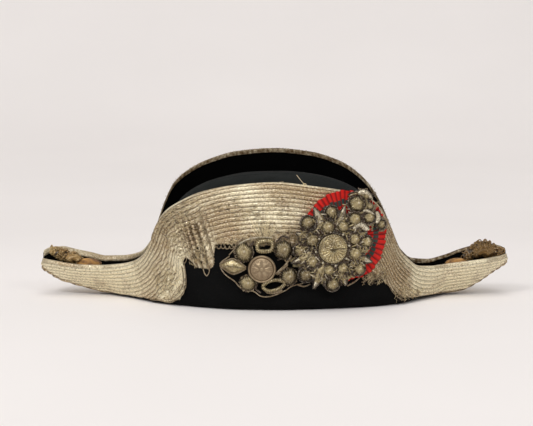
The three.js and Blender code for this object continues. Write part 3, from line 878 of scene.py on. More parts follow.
@dataclass(frozen=True)
class Cloth(Finish):
    """A dark woven or napped cloth with dust on it."""

    colour: Colour = srgb(30, 30, 30)
    dust_colour: Colour = srgb(110, 108, 98)
    dust: float = 0.2
    threads: float = 2400.0
    nap: float = 0.8
    depth: float = 0.25
    roughness: float = 0.9
    shine: float = 0.1

    def build(self) -> Material:
        """Makes the material."""
        material, b, shader = self.start(Roughness=self.roughness, Specular_IOR_Level=self.shine)
        place = self.body_place(b)
        grain = self.effect(b, self.groups.cloth_grain, Place=place, Threads=self.threads, Nap=self.nap)
        shade = b.stretch(b.noise(place, 45.0, 4.0), 0.3, 0.7, (0.75, 1.25))
        grey = b.add("ShaderNodeCombineColor", {0: shade, 1: shade, 2: shade}).outputs[0]
        base = b.tinted(self.colour, grey)
        dust = self.effect(
            b, self.groups.dust, Place=place, Base=base, Dust=self.dust_colour, Amount=self.dust
        )
        b.feed(shader.inputs["Base Color"], dust.outputs["Colour"])
        self.relief(b, shader, grain.outputs["Height"], self.depth)
        return material


@dataclass(frozen=True)
class Ribbon(Finish):
    """The cockade's ribbed silk: red, with a dark green stripe woven near the edge, and painted shade at each
    pleat's fold.
    """

    red: Colour = srgb(216, 22, 8)
    pleat_shade_red: Colour = srgb(112, 10, 8)
    green: Colour = srgb(34, 66, 60)
    faded: Colour = srgb(226, 92, 76)
    stripe: tuple[float, float] = (0.67, 0.8)
    stripe_edge: float = 0.008
    silk_ribs: int = 60

    def build(self) -> Material:
        """Makes the material."""
        material, b, shader = self.start(Roughness=0.6, Specular_IOR_Level=0.3)
        ring, fold = b.mark("ring"), b.mark("fold")
        (low, high), soft = self.stripe, self.stripe_edge
        stripe = b.times(b.stretch(ring, low - soft, low + soft), b.stretch(ring, high + soft, high - soft))
        stripe = b.times(stripe, b.stretch(fold, 0.8, 0.55))
        # Painted shade: the red and the green darken towards each pleat's fold.
        red = b.mix(fold, self.red, self.pleat_shade_red)
        green = b.mix(fold, self.green, srgb(16, 34, 31))
        colour = b.mix(stripe, red, green)
        faded = b.stretch(b.noise(self.body_place(b), 160.0, 4.0), 0.45, 0.75, (0.0, 0.16))
        b.feed(shader.inputs["Base Color"], b.mix(faded, colour, b.mix(0.5, colour, self.faded)))
        ribs = b.math("SINE", b.times(ring, TAU * self.silk_ribs))
        self.relief(b, shader, ribs, 0.12)
        return material


@dataclass(frozen=True)
class Silk(Finish):
    """Floss silk laid in long strands over the tassels' heads, with painted shade and highlight along the
    strands.
    """

    light: Colour = srgb(204, 150, 76)
    dark: Colour = srgb(88, 52, 20)

    def build(self) -> Material:
        """Makes the material."""
        material, b, shader = self.start(Roughness=0.5, Sheen_Weight=0.08, Sheen_Roughness=0.4)
        surface = b.place(self.surface_place(b), (0.06, 2.2, 1.0))
        strands = b.noise(surface, 1.6, 3.0, 0.6)
        patches = b.noise(self.body_place(b), 190.0, 3.0)
        # Partly painted shade and highlight: the strands' bump also sets their colour, dark where low and
        # light where high; the patches are random tone.
        mask = b.stretch(b.blended(strands, patches), 0.42, 0.58)
        b.feed(shader.inputs["Base Color"], b.mix(mask, self.dark, self.light))
        self.relief(b, shader, strands, 0.5)
        return material


@dataclass(frozen=True)
class PlateMetal(Finish):
    """Stamped, silvered metal, tarnished in patches, with painted shade in its recesses."""

    high: Colour = srgb(180, 160, 130)
    dull: Colour = srgb(136, 116, 92)
    # low is the colour of the stains and also of the painted shade in the recesses.
    low: Colour = srgb(96, 78, 58)

    def build(self) -> Material:
        """Makes the material."""
        material, b, shader = self.start(Metallic=0.85)
        tarnish = self.effect(
            b,
            self.groups.tarnish,
            Place=self.body_place(b),
            Bright=self.high,
            Dull=self.dull,
            Stain=self.low,
            Amount=0.5,
            Stain_Amount=0.35,
        )
        # Painted shade: the recesses take the low colour.
        colour = b.mix(b.mark("shade_and_specks"), tarnish.outputs["Colour"], self.low)
        b.feed(shader.inputs["Base Color"], colour)
        b.feed(shader.inputs["Roughness"], b.stretch(tarnish.outputs["Mask"], 0.0, 1.0, (0.36, 0.52)))
        scratches = b.noise(b.place(self.surface_place(b), (1.0, 6.0, 1.0)), 1.2, 4.0)
        self.relief(b, shader, scratches, 0.08)
        return material


class Finishes:
    """Every finish on the hat."""

    def __init__(self) -> None:
        """Builds the materials."""
        groups = EffectGroups()

        def metal(
            name: str, *colours: tuple[int, int, int], marked: bool = True, **settings: object
        ) -> Material:
            """Metal thread, from display colours: bright, dull, stained, and the colour that painted shade in
            its crevices darkens towards.
            """
            known = {key: srgb(*c) for key, c in zip(("bright", "dull", "stain", "shade_and_specks"), colours)}
            mark = "shade_and_specks" if marked else None
            return MetalThread(name, groups, shade_and_specks_mark=mark, **known, **settings).build()

        self.lace = metal(
            "metal lace",
            (250, 240, 208), (186, 162, 124), (150, 112, 76), (96, 78, 56),
            tarnish=0.42,
            glitter=0.9,
            wear_mark="wear",
        )
        self.lace_edge = metal("lace edging cord", (206, 188, 156), (138, 116, 86))
        self.bullion = metal(
            "silver bullion",
            (200, 182, 134), (122, 104, 72), (84, 60, 40), (48, 36, 28),
            depth=0.3,
            stained=0.4,
            roughness=(0.2, 0.42),
        )
        self.ray = metal(
            "silver plate thread",
            (236, 226, 200), (158, 140, 108), (104, 82, 58), (92, 76, 56),
            tarnish=0.4,
            roughness=(0.2, 0.4),
        )
        self.coil = metal(
            "dark wire coil",
            (112, 92, 76), (60, 46, 38), (34, 24, 20), (30, 22, 20),
            tarnish=0.5,
            stained=0.6,
        )
        self.gilt_left = metal(
            "gilt bullion coil",
            (252, 222, 160), (206, 164, 104), (110, 76, 44), (50, 34, 22),
            stained=0.5,
            roughness=(0.2, 0.42),
        )
        self.gilt_right = metal(
            "dark gilt bullion coil",
            (204, 164, 104), (124, 92, 54), (64, 44, 28), (44, 32, 22),
            tarnish=0.5,
            stained=0.5,
            roughness=(0.22, 0.45),
        )
        self.fray = metal(
            "frayed gilt strips",
            (246, 230, 188), (204, 176, 122), (150, 112, 66),
            marked=False,
            tarnish=0.4,
            stained=0.4,
            metallic=0.5,
        )
        self.felt = Cloth("black plush felt", groups, srgb(12, 12, 12), dust=0.012, shine=0.07).build()
        # Painted shade: a darker copy of the felt for the brim's inner faces.
        self.shaded_felt = Cloth("shaded black felt", groups, srgb(5, 5, 5), dust=0.0, shine=0.02).build()
        cloth = Cloth("dark green-grey cloth", groups, srgb(23, 26, 25), dust=0.02, threads=3200.0)
        self.crown = cloth.build()
        self.ribbon = Ribbon("ribbed silk ribbon", groups).build()
        self.silk = Silk("ochre floss silk", groups).build()
        self.button = PlateMetal("silvered button", groups).build()


# The hat's pieces


@dataclass
class FeltBody:
    """The brim's felt shell and the hollow crown."""

    shop: Workshop
    finishes: Finishes
    crown_long: float = 100.0
    crown_across: float = 76.0
    crown_wall: float = 2.2
    crown_shoulder: float = 58.0
    crown_height: float = 115.5
    crown_fullness: float = 2.4
    opening_gap: float = 0.35
    cut: tuple[float, float] = (-6, 10)
    sections: int = 300
    wall_steps: int = 30
    under_steps: int = 14
    crease: float = 0.35

    def build(self) -> list[Piece]:
        """Makes both pieces."""
        return [self.brim(), self.crown()]

    def _skin(self, x: Array, inside: bool) -> Array:
        """A face of the shell, from the near rim under to the far one, at each x."""
        form = self.shop.form
        ways = []
        for flap in Flap:
            girth = form.girth(flap, x)[:, None]
            keel, flat, *_ = form.fold(flap, x)
            under = -flat[:, None] * np.linspace(1, 0, self.under_steps)[None, :-1]
            b = np.concatenate([under, girth * np.linspace(0, 1, self.wall_steps)[None, :]], 1)
            along = np.broadcast_to(x[:, None], b.shape)
            points = form.point(flap, along, b)
            normal = form.normal(flap, along, b, level=True)
            crease = Ripple(3 + flap.value)(along / 16, b / 11) * self.crease
            crease = crease + Ripple(8)(along / 5, b / 30) * 0.12
            fade = smoothstep(6, 16, b) * (0 if inside else 1)
            shift = -FELT if inside else 0.0
            ways.append(points + normal * (shift + crease * fade)[..., None])
        near, far = ways
        return np.concatenate([near[:, ::-1], far[:, 1:]], 1)

    def brim(self) -> Piece:
        """The boat-shaped shell, cut through for the head."""
        x = np.linspace(-BRIM_END, BRIM_END, self.sections)
        outer, inner = self._skin(x, False), self._skin(x, True)
        ring = np.concatenate([outer, inner[:, ::-1]], 1)
        rows, columns = ring.shape[:2]
        faces = grid_faces(rows, columns, wrap_columns=True)
        half = columns // 2
        k = np.arange(half - 1)
        cap = np.stack([k, k + 1, columns - 2 - k, columns - 1 - k], -1)
        faces = np.concatenate([faces, cap, cap[:, ::-1] + (rows - 1) * columns])
        # The inner faces take the darker copy of the felt, as painted shade.
        material = np.zeros(len(faces), int)
        column_of = np.tile(np.arange(columns), rows - 1)
        material[: len(column_of)] = (column_of >= half - 1).astype(int)
        piece = self.shop.mesh(
            "brim_felt", ring, faces, (self.finishes.felt, self.finishes.shaded_felt), which=material
        )
        self._cut_opening(piece)
        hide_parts("brim")
        return piece

    def _cut_opening(self, piece: Piece) -> None:
        """Cuts the oval for the head through the shell."""
        angle = np.linspace(0, TAU, 145)[:-1]
        long, across = self.crown_long + self.opening_gap, self.crown_across + self.opening_gap
        oval = np.stack([long * np.cos(angle), across * np.sin(angle), np.zeros_like(angle)], -1)
        ends = np.array([[0, 0, z] for z in self.cut])
        points = np.concatenate([*(oval + end for end in ends), ends])
        n = len(angle)
        j = np.arange(n)
        k = (j + 1) % n
        wall = np.stack([j, k, k + n], -1), np.stack([j, k + n, j + n], -1)
        caps = np.stack([k, j, np.full(n, 2 * n)], -1), np.stack([j + n, k + n, np.full(n, 2 * n + 1)], -1)
        cutter = self.shop.mesh("opening_cutter", points, np.concatenate([*wall, *caps]), self.finishes.felt)
        modifier = piece.modifiers.new("opening", "BOOLEAN")
        modifier.operation, modifier.solver, modifier.object = "DIFFERENCE", "EXACT", cutter
        bpy.context.view_layer.objects.active = piece
        bpy.ops.object.modifier_apply(modifier=modifier.name)
        bpy.data.objects.remove(cutter)

    def _dome(self, inset: float, wrinkle: float) -> Array:
        """Rings of the crown's oval dome, from the bottom up."""
        angle = np.linspace(0, TAU, 181)[:-1]
        top = self.crown_height - inset
        wall = np.linspace(0, self.crown_shoulder, 16)[:-1]
        t = np.sin(np.linspace(0, math.pi / 2, 46))
        z = np.concatenate([wall, self.crown_shoulder + t * (top - self.crown_shoulder)])
        drop = np.clip((z - self.crown_shoulder) / (top - self.crown_shoulder), 0, 1)
        shrink = (np.maximum(1 - drop**self.crown_fullness, 1e-7) ** (1 / self.crown_fullness))[:, None]
        a, height = angle[None, :], z[:, None]
        x = (self.crown_long - inset) * shrink * np.cos(a)
        y = (self.crown_across - inset) * shrink * np.sin(a)
        folds = Ripple(21)(x / 20, y / 12) * 0.5 + Ripple(22)(x / 7, y / 9 + height / 14) * 0.16
        z_now = height + wrinkle * folds * smoothstep(0.2, 0.7, drop)[:, None]
        seam = -0.5 * bump(y, -9 + 0.0004 * x**2, 0.8) * smoothstep(0.7, 0.9, drop)[:, None]
        return together(x, y, z_now + wrinkle * seam)

    def crown(self) -> Piece:
        """The hollow crown, open below."""
        rings = np.concatenate([self._dome(self.crown_wall, 0.0)[::-1], self._dome(0.0, 1.0)])
        rows, columns = rings.shape[:2]
        faces = grid_faces(rows, columns, wrap_columns=True)[:, ::-1]
        piece = self.shop.mesh("crown_cloth", rings, faces, self.finishes.crown)
        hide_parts("crown")
        return piece


@dataclass(frozen=True)
class Foot:
    """Where the lace's lower edge is, for the line that starts at this x of the rim."""

    x: float
    foot_x: float
    foot_b: float


NEAR_FEET: tuple[Foot, ...] = (
    Foot(-221, -221, 1),
    Foot(-160, -161, 1.5),
    Foot(-135, -134, 4.5),
    Foot(-120, -111, 7),
    Foot(-115.5, -98, 6.5),
    Foot(-112, -88, 10),
    Foot(-109, -81.5, 18),
    Foot(-106, -80, 28),
    Foot(-103, -79.8, 38),
    Foot(-99.5, -82, 44),
    Foot(-96, -79.4, 49.5),
    Foot(-91, -74, 46),
    Foot(-85, -68, 41),
    Foot(-75, -57.4, 41.5),
    Foot(-71.5, -53.6, 47),
    Foot(-68, -53, 57),
    Foot(-62, -51.5, 62.6),
    Foot(-40, -40, 63),
    Foot(40, 40, 61),
    Foot(60, 57, 54),
    Foot(72, 65, 46),
    Foot(84, 74, 37),
    Foot(94, 83, 34),
    Foot(102, 93, 31),
    Foot(108, 101, 24),
    Foot(114, 109, 15),
    Foot(121, 119, 10),
    Foot(135, 137, 4.5),
    Foot(160, 161, 1.5),
    Foot(221, 221, 1),
)
FAR_FEET: tuple[Foot, ...] = (
    Foot(-221, -221, 1),
    Foot(-160, -161, 1.5),
    Foot(-135, -134, 4.5),
    Foot(-120, -113, 10),
    Foot(-110, -93, 24),
    Foot(-98, -78, 48),
    Foot(-80, -64, 62),
    Foot(-50, -47, 74),
    Foot(0, 0, 81),
    Foot(50, 47, 70),
    Foot(80, 64, 57),
    Foot(98, 80, 44),
    Foot(110, 97, 22),
    Foot(120, 114, 10),
    Foot(135, 136, 4.5),
    Foot(160, 161, 1.5),
    Foot(221, 221, 1),
)


@dataclass(frozen=True)
class Crimp:
    """A crumpled stretch of lace, in millimetres.

    rise and fall are the x between which it starts and ends, and down the distances below the rim.
    """

    rise: tuple[float, float]
    fall: tuple[float, float]
    down: tuple[float, float]
    amount: float


REAR_SHOULDER = Crimp((-117, -106), (-60, -70), (13, 24), 0.8)
REAR_CORNER = Crimp((-124, -112), (-98, -106), (26, 40), 1.0)
FRONT_CORNER = Crimp((80, 96), (128, 116), (40, 52), 0.7)


@dataclass
class LaceBand:
    """Ribbed metal lace over one flap: it wraps the rim, and its ribs run with it down to a flat border."""

    shop: Workshop
    finishes: Finishes
    flap: Flap
    name: str
    node: str
    feet: tuple[Foot, ...]
    step: float
    row_step: float
    worn: bool
    end: float = 218.5
    pitch: float = 3.82
    ribs: int = 11
    width: float = 54.0
    seat: float = 1.0
    rib_height: float = 0.95
    wrap: float = 4.5
    slight_wrap: float = 2.2
    pleat_pitch: float = 5.2
    pleat_height: float = 1.3
    scallop_pitch: float = 4.2

    def build(self) -> list[Piece]:
        """Makes the band."""
        x, rim, foot = self._lines()
        length = np.linalg.norm(foot - rim, axis=1)
        reach = np.arange(0, length.max() + self.row_step, self.row_step)
        share = reach[None, :] / length[:, None]
        scale = np.maximum(1, length / self.width)[:, None]
        across = reach[None, :] / scale
        run = rim[:, :1] + share * (foot[:, :1] - rim[:, :1])
        b = rim[:, 1:] + share * (foot[:, 1:] - rim[:, 1:])
        along = lengths(rim)
        s = np.broadcast_to(along[:, None], share.shape)
        lift, shade_and_specks, wear = self._relief(x[:, None], s, across, share, b)
        face = self.shop.form.lifted(self.flap, self.shop.form.x_of(self.flap, run), b, lift)
        over = self._over_rim(x, rim[:, 1], lift[:, 0])
        points = np.concatenate([over, face], 1)
        rows = over.shape[1]
        shown = self._shown(x[:, None], s, share, b)
        keep = np.concatenate([np.ones((len(x), rows), bool), shown], 1)
        marks = {
            "shade_and_specks": np.concatenate([self._rim_darkness(x, rows), shade_and_specks], 1),
            "wear": np.concatenate([np.full((len(x), rows), 0.12), wear], 1),
        }
        d = np.concatenate([np.broadcast_to(-np.arange(rows, 0, -1.0)[None, :], (len(x), rows)), across], 1)
        uv = np.stack([np.broadcast_to(along[:, None], d.shape), d], -1)
        return [self._make(points, keep, uv, marks)]

    def _lines(self) -> tuple[Array, Array, Array]:
        """The lines the lace lies along: each one's x, its point on the rim and its foot, on the flat map."""
        form = self.shop.form
        fine = np.linspace(-self.end, self.end, 2400)
        rim = np.stack([form.run_of(self.flap, fine), form.girth(self.flap, fine)], -1)
        along = lengths(rim)
        x = np.interp(np.linspace(0, along[-1], int(along[-1] / self.step)), along, fine)
        rows = [f.x for f in self.feet]
        foot_x = SmoothColumn(rows, [f.foot_x for f in self.feet])(x)
        foot_b = SmoothColumn(rows, [f.foot_b for f in self.feet])(x)
        top = form.girth(self.flap, x)
        rim = np.stack([form.run_of(self.flap, x), top], -1)
        foot = np.stack([form.run_of(self.flap, foot_x), np.minimum(foot_b, top - 2)], -1)
        return x, rim, foot

    def _relief(self, x: Array, s: Array, d: Array, share: Array, b: Array) -> tuple[Array, ...]:
        """How the lace stands off the felt.

        Args:
            x: the x that each line starts from.
            s: the distance along the rim.
            d: the distance across the lace.
            share: how far down its line each point is.
            b: its girth.

        Returns:
            The lift, how far each point is darkened (painted shade in the valleys and pleats, and browned
            specks at the horns' lower edge), and how worn.
        """
        crimp = self._crimped(x, d) if self.worn else np.zeros_like(d)
        wander = Ripple(31)(s / 14, d / 9) * 0.28 + crimp * Ripple(32)(s / 1.6, d / 2.4) * 1.2
        phase = (d + wander) / self.pitch
        wave = np.abs(np.sin(math.pi * phase))
        ribbed = smoothstep(self.ribs + 0.4, self.ribs - 0.1, phase)
        border = (1 - ribbed) * (0.5 + 0.35 * Ripple(33)(s / 0.9, d / 0.9))
        rib = wave**0.75 * self.rib_height
        lift = self.seat + ribbed * rib + border
        lift = lift + 0.22 * Ripple(34)(s / 9, d / 6)
        # Painted shade in the valleys between the ribs and in the border's low places.
        gap, sunk = smoothstep(0.5, 0.12, wave), smoothstep(0.2, -0.4, border)
        shade_and_specks = ribbed * gap * 0.85 + (1 - ribbed) * sunk * 0.5
        away = np.abs(x)
        wear = 0.16 * Ripple(35)(s / 22, d / 8) + 0.3 * smoothstep(9, 3, b)
        wear = wear + 0.6 * smoothstep(8, 3, b) * smoothstep(110, 130, away)
        if self.worn:
            pleat = self._pleats(x, s, d)
            crumple = Ripple(36)(s / 1.2, d / 1.3) * 0.5 + Ripple(39)(s / 0.8, d / 3) * 0.3
            lift = lift + pleat + crimp * crumple
            # Less painted shade towards the horns, and painted shade in the pleats' valleys.
            shade_and_specks = shade_and_specks * (1 - 0.45 * smoothstep(112, 140, away))
            shade_and_specks = np.maximum(shade_and_specks, smoothstep(0.2, -0.5, pleat) * self._pleated(x, d) * 0.8)
            # Browned specks at the horns' lower edge, held in the same mark.
            speck = smoothstep(0.1, 0.7, Ripple(46)(s / 0.9, d / 0.9))
            speck = speck * smoothstep(9, 2, b) * smoothstep(105, 125, away)
            shade_and_specks = np.maximum(shade_and_specks, 0.8 * speck)
            wear = wear + self._browned(x, d)
        thin = smoothstep(1.0, 0.93, share)
        return 0.25 + (lift - 0.25) * (0.35 + 0.65 * thin), np.clip(shade_and_specks, 0, 1), wear

    @staticmethod
    def _pleated(x: Array, d: Array) -> Array:
        """How gathered the lace is, at the rear shoulder."""
        return bump(x, -80, 14) * smoothstep(8, 26, d)

    def _pleats(self, x: Array, s: Array, d: Array) -> Array:
        """The upright pleats' height."""
        wave = np.sin(TAU * (s / self.pleat_pitch + 0.25 * np.sin(s / 7)) + 0.4 * np.sin(d / 9))
        return self.pleat_height * self._pleated(x, d) * np.sign(wave) * np.abs(wave) ** 0.7

    @staticmethod
    def _crimped(x: Array, d: Array) -> Array:
        """How crumpled the lace is: over the rear shoulder, and at the rear and front lower corners."""
        total = 0
        for c in (REAR_SHOULDER, REAR_CORNER, FRONT_CORNER):
            inside = smoothstep(*c.rise, x) * smoothstep(*c.fall, x) * smoothstep(*c.down, d)
            total = total + c.amount * inside
        return np.clip(total, 0, 1)

    @staticmethod
    def _browned(x: Array, d: Array) -> Array:
        """Where the lace has browned: the rear shoulder, the front one and the rims."""
        rear = bump(x, -104, 12) * smoothstep(44, 10, d)
        front = bump(x, 104, 12)
        horns = smoothstep(118, 140, np.abs(x))
        border = smoothstep(40, 44, d) * smoothstep(70, 50, np.abs(x))
        return 0.12 + 0.1 * rear + 0.2 * front + 0.2 * border + 0.12 * smoothstep(4, 0, d) - 0.45 * horns

    def _shown(self, x: Array, s: Array, share: Array, b: Array) -> Array:
        """Which points are inside the lace's ragged edge."""
        fray = Ripple(41)(s / 1.1, s * 0) * 0.010 + Ripple(42)(s / 0.5, s * 0) * 0.006
        scallop = 0.006 * np.abs(np.sin(math.pi * s / self.scallop_pitch))
        return share <= 1 + (fray if self.worn else 0.2 * fray) - scallop

    def _over_rim(self, x: Array, girth: Array, lift: Array) -> Array:
        """The part that goes over the rim and down inside."""
        form = self.shop.form
        edge = form.point(self.flap, x, girth)
        out = form.normal(self.flap, x, girth - 1, level=True)
        down = form.point(self.flap, x, girth - 2) - edge
        down = down / np.linalg.norm(down, axis=1, keepdims=True)
        radius = FELT / 2 + self.seat
        turns = np.linspace(math.pi, 0, 9)[:-1]
        rows = []
        wrap = self.wrap
        if not self.worn:
            wrap = self.slight_wrap + (self.wrap - self.slight_wrap) * smoothstep(-110, -150, x)[:, None]
        for i, share in enumerate(np.linspace(1, 0, 5)):
            swell = 0.25 * math.sin(math.pi * share) - (0.5 if i == 0 else 0)
            rows.append(edge + out * (-FELT - self.seat - swell) + down * (0.8 + share * (wrap - 0.8)))
        for turn in turns:
            ripple = 0.12 * np.sin(turn * 6)
            across = -FELT / 2 + (radius + ripple) * math.cos(turn)
            rows.append(edge + out * across - down * (radius + ripple) * math.sin(turn) * 0.95)
        return np.stack(rows, 1)

    def _rim_darkness(self, x: Array, rows: int) -> Array:
        """How much darker the part over the rim is: a little, in patches, on the near flap; much darker on
        the far flap, though less towards its rear end.
        """
        across = np.arange(rows)[None, :]
        if self.worn:
            return 0.25 * smoothstep(0.1, 0.9, Ripple(44)(x[:, None] / 5, across / 3))
        darkness = 0.84 + 0.2 * Ripple(45)(x[:, None] / 0.6, across / 1.5)
        return np.clip(darkness * (0.15 + 0.85 * smoothstep(-140, -100, x[:, None])), 0, 1)

    def _make(self, points: Array, keep: Array, uv: Array, marks: dict[str, Array]) -> Piece:
        """The mesh of what is kept of the grid."""
        rows, columns = keep.shape
        faces = grid_faces(rows, columns)
        if self.flap is Flap.FAR:
            faces = faces[:, ::-1]
        faces = faces[keep.ravel()[faces].all(1)]
        used, renumbered = np.unique(faces, return_inverse=True)
        faces = renumbered.reshape(-1, 4)
        flat_marks = {name: values.ravel()[used] for name, values in marks.items()}
        points, uv = points.reshape(-1, 3)[used], uv.reshape(-1, 2)[used]
        piece = self.shop.mesh(self.name, points, faces, self.finishes.lace, uv, flat_marks)
        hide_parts(self.node)
        return piece


@dataclass
class Cockade:
    """The pleated ribbon disc."""

    shop: Workshop
    finishes: Finishes
    x: float = 61.3
    z: float = 65.5
    wide: float = 37.4
    tall: float = 41.0
    pleats: int = 52
    base: float = 2.9
    rise: float = 2.4
    ripple: float = 0.9
    hidden_dip: float = 0.07
    dip_angle: float = 4.93

    def build(self) -> list[Piece]:
        """Makes the disc."""
        spot = self.shop.form.spot(self.x, self.z)
        per_pleat = 12
        count = self.pleats * per_pleat
        angle = full_turn(count)
        part = (np.arange(count) % per_pleat) / per_pleat
        saw = np.where(part < 0.8, part / 0.8, (1 - part) / 0.2)
        which = np.arange(count) // per_pleat
        slip = np.random.default_rng(7).normal(0, 0.012, self.pleats)[which]
        reach = np.concatenate([np.linspace(0.1, 1, 46), [1.0, 1.0]])
        dip = self.hidden_dip * smoothstep(0.5, 0.0, np.abs(angle - self.dip_angle))
        r = reach[:, None] * (1 + 0.012 * np.cos(which * 2.4) + 0.006 * saw - dip)[None, :]
        tall = smoothstep(0.1, 0.35, reach)[:, None]
        lift = self.base + self.rise + self.ripple * (saw[None, :] - 0.4) * tall
        lift = lift + 0.3 * np.sin(3 * angle)[None, :] * reach[:, None]
        lift[-2] = self.base + 1.2
        lift[-1] = self.base
        run = spot[0] + r * self.wide * np.cos(angle)[None, :]
        b = spot[1] + r * self.tall * np.sin(angle)[None, :]
        points = self.shop.form.on_flap(run, b, lift)
        faces = grid_faces(len(reach), count, wrap_columns=True)
        marks = {
            "ring": np.broadcast_to(reach[:, None], r.shape) + slip[None, :],
            # fold: where each pleat folds under. It hides the stripe there and sets the painted shade.
            "fold": np.broadcast_to(smoothstep(0.6, 0.0, saw)[None, :], r.shape) * 0.95,
        }
        piece = self.shop.mesh("cockade_ribbon", points, faces, self.finishes.ribbon, marks=marks)
        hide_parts("cockade")
        return [piece]


@dataclass(frozen=True)
class Boss:
    """A dome of metal threads, in millimetres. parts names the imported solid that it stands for."""

    parts: str
    x: float
    z: float
    radius: float
    height: float
    base: float
    coiled: bool = True


STAR_X, STAR_Z = 49.1, 55.6
STAR_BASE = 8.4
BOSS_RINGS = (0.0, 0.1, 0.18, 0.26, 0.36, 0.48, 0.6, 0.72, 0.82, 0.9, 0.96, 1.0, 1.0)
CHIP_SHARES = (0.46, 0.1, 0.44)
STAR_BOSSES: tuple[Boss, ...] = (
    Boss("star_boss_1", 68.2, 63.0, 5.0, 3.4, STAR_BASE),
    Boss("star_boss_2", 58.1, 74.4, 5.4, 3.8, STAR_BASE),
    Boss("star_boss_3", 44.9, 74.1, 5.9, 4.0, STAR_BASE),
    Boss("star_boss_4", 31.7, 63.1, 6.0, 3.4, STAR_BASE),
    Boss("star_boss_5", 31.6, 45.3, 5.8, 3.4, STAR_BASE),
    Boss("star_boss_6", 45.8, 37.2, 5.0, 3.0, STAR_BASE),
    Boss("star_boss_7", 57.8, 38.6, 5.3, 3.2, STAR_BASE),
    Boss("star_boss_8", 68.6, 50.9, 5.9, 3.2, STAR_BASE),
    Boss("star_outer_boss_1", 78.7, 60.2, 4.8, 3.8, 7.2),
    Boss("star_outer_boss_2", 68.5, 80.2, 5.9, 4.0, 7.2),
    Boss("star_outer_boss_3", 48.1, 87.3, 5.4, 4.0, 7.2),
    Boss("star_outer_boss_4", 28.0, 78.0, 5.9, 4.2, 7.2),
    Boss("star_outer_boss_5", 21.6, 54.4, 5.6, 4.2, 6.0),
    Boss("star_outer_boss_6", 26.6, 33.2, 6.2, 4.2, 6.0),
    Boss("star_outer_boss_7", 49.3, 24.4, 5.9, 4.4, 7.0),
    Boss("star_outer_boss_8", 72.1, 37.2, 5.4, 4.0, 7.2),
)
SPRAY_BOSSES: tuple[Boss, ...] = (
    Boss("spray_boss_1", 69.8, 94.3, 6.9, 4.2, 7.0),
    Boss("spray_boss_2", 78.2, 101.6, 3.6, 3.0, 7.0, False),
    Boss("spray_boss_3", 81.2, 91.6, 3.6, 3.2, 7.0, False),
    Boss("spray_boss_4", 80.6, 81.2, 5.0, 3.8, 7.0),
    Boss("spray_boss_5", 90.6, 74.4, 3.9, 2.8, 7.0),
)
WREATH_BOSSES: tuple[Boss, ...] = (
    Boss("wreath_flower_1", -27.2, 52.6, 8.2, 3.8, 2.9, False),
    Boss("wreath_flower_2", -23.7, 25.2, 7.0, 3.8, 2.9, False),
    Boss("neck_flower", 7.4, 54.8, 7.8, 4.0, 2.9, False),
    Boss("neck_boss", 12.0, 31.2, 7.4, 4.0, 2.9, False),
)


@dataclass(frozen=True)
class Ray:
    """One of the star's rays: its tip and its root's half-width, in millimetres."""

    parts: str
    tip_x: float
    tip_z: float
    across: float
    pale: float


RAYS: tuple[Ray, ...] = (
    Ray("star_ray_1", 78.6, 68.2, 5.6, 0.7),
    Ray("star_ray_2", 59.6, 91.9, 5.8, 1.0),
    Ray("star_ray_3", 33.6, 91.6, 5.8, 1.0),
    Ray("star_ray_4", 17.7, 69.6, 5.4, 0.35),
    Ray("star_ray_5", 14.8, 44.4, 5.2, 0.5),
    Ray("star_ray_6", 32.9, 20.8, 5.0, 0.45),
    Ray("star_ray_7", 61.0, 23.0, 5.2, 0.6),
    Ray("star_ray_8", 83.4, 42.4, 5.2, 0.6),
)


class Finishing(IntEnum):
    """The order of an embroidered piece's materials."""

    BULLION = 0
    RAY = 1
    COIL = 2
    CORD = 3


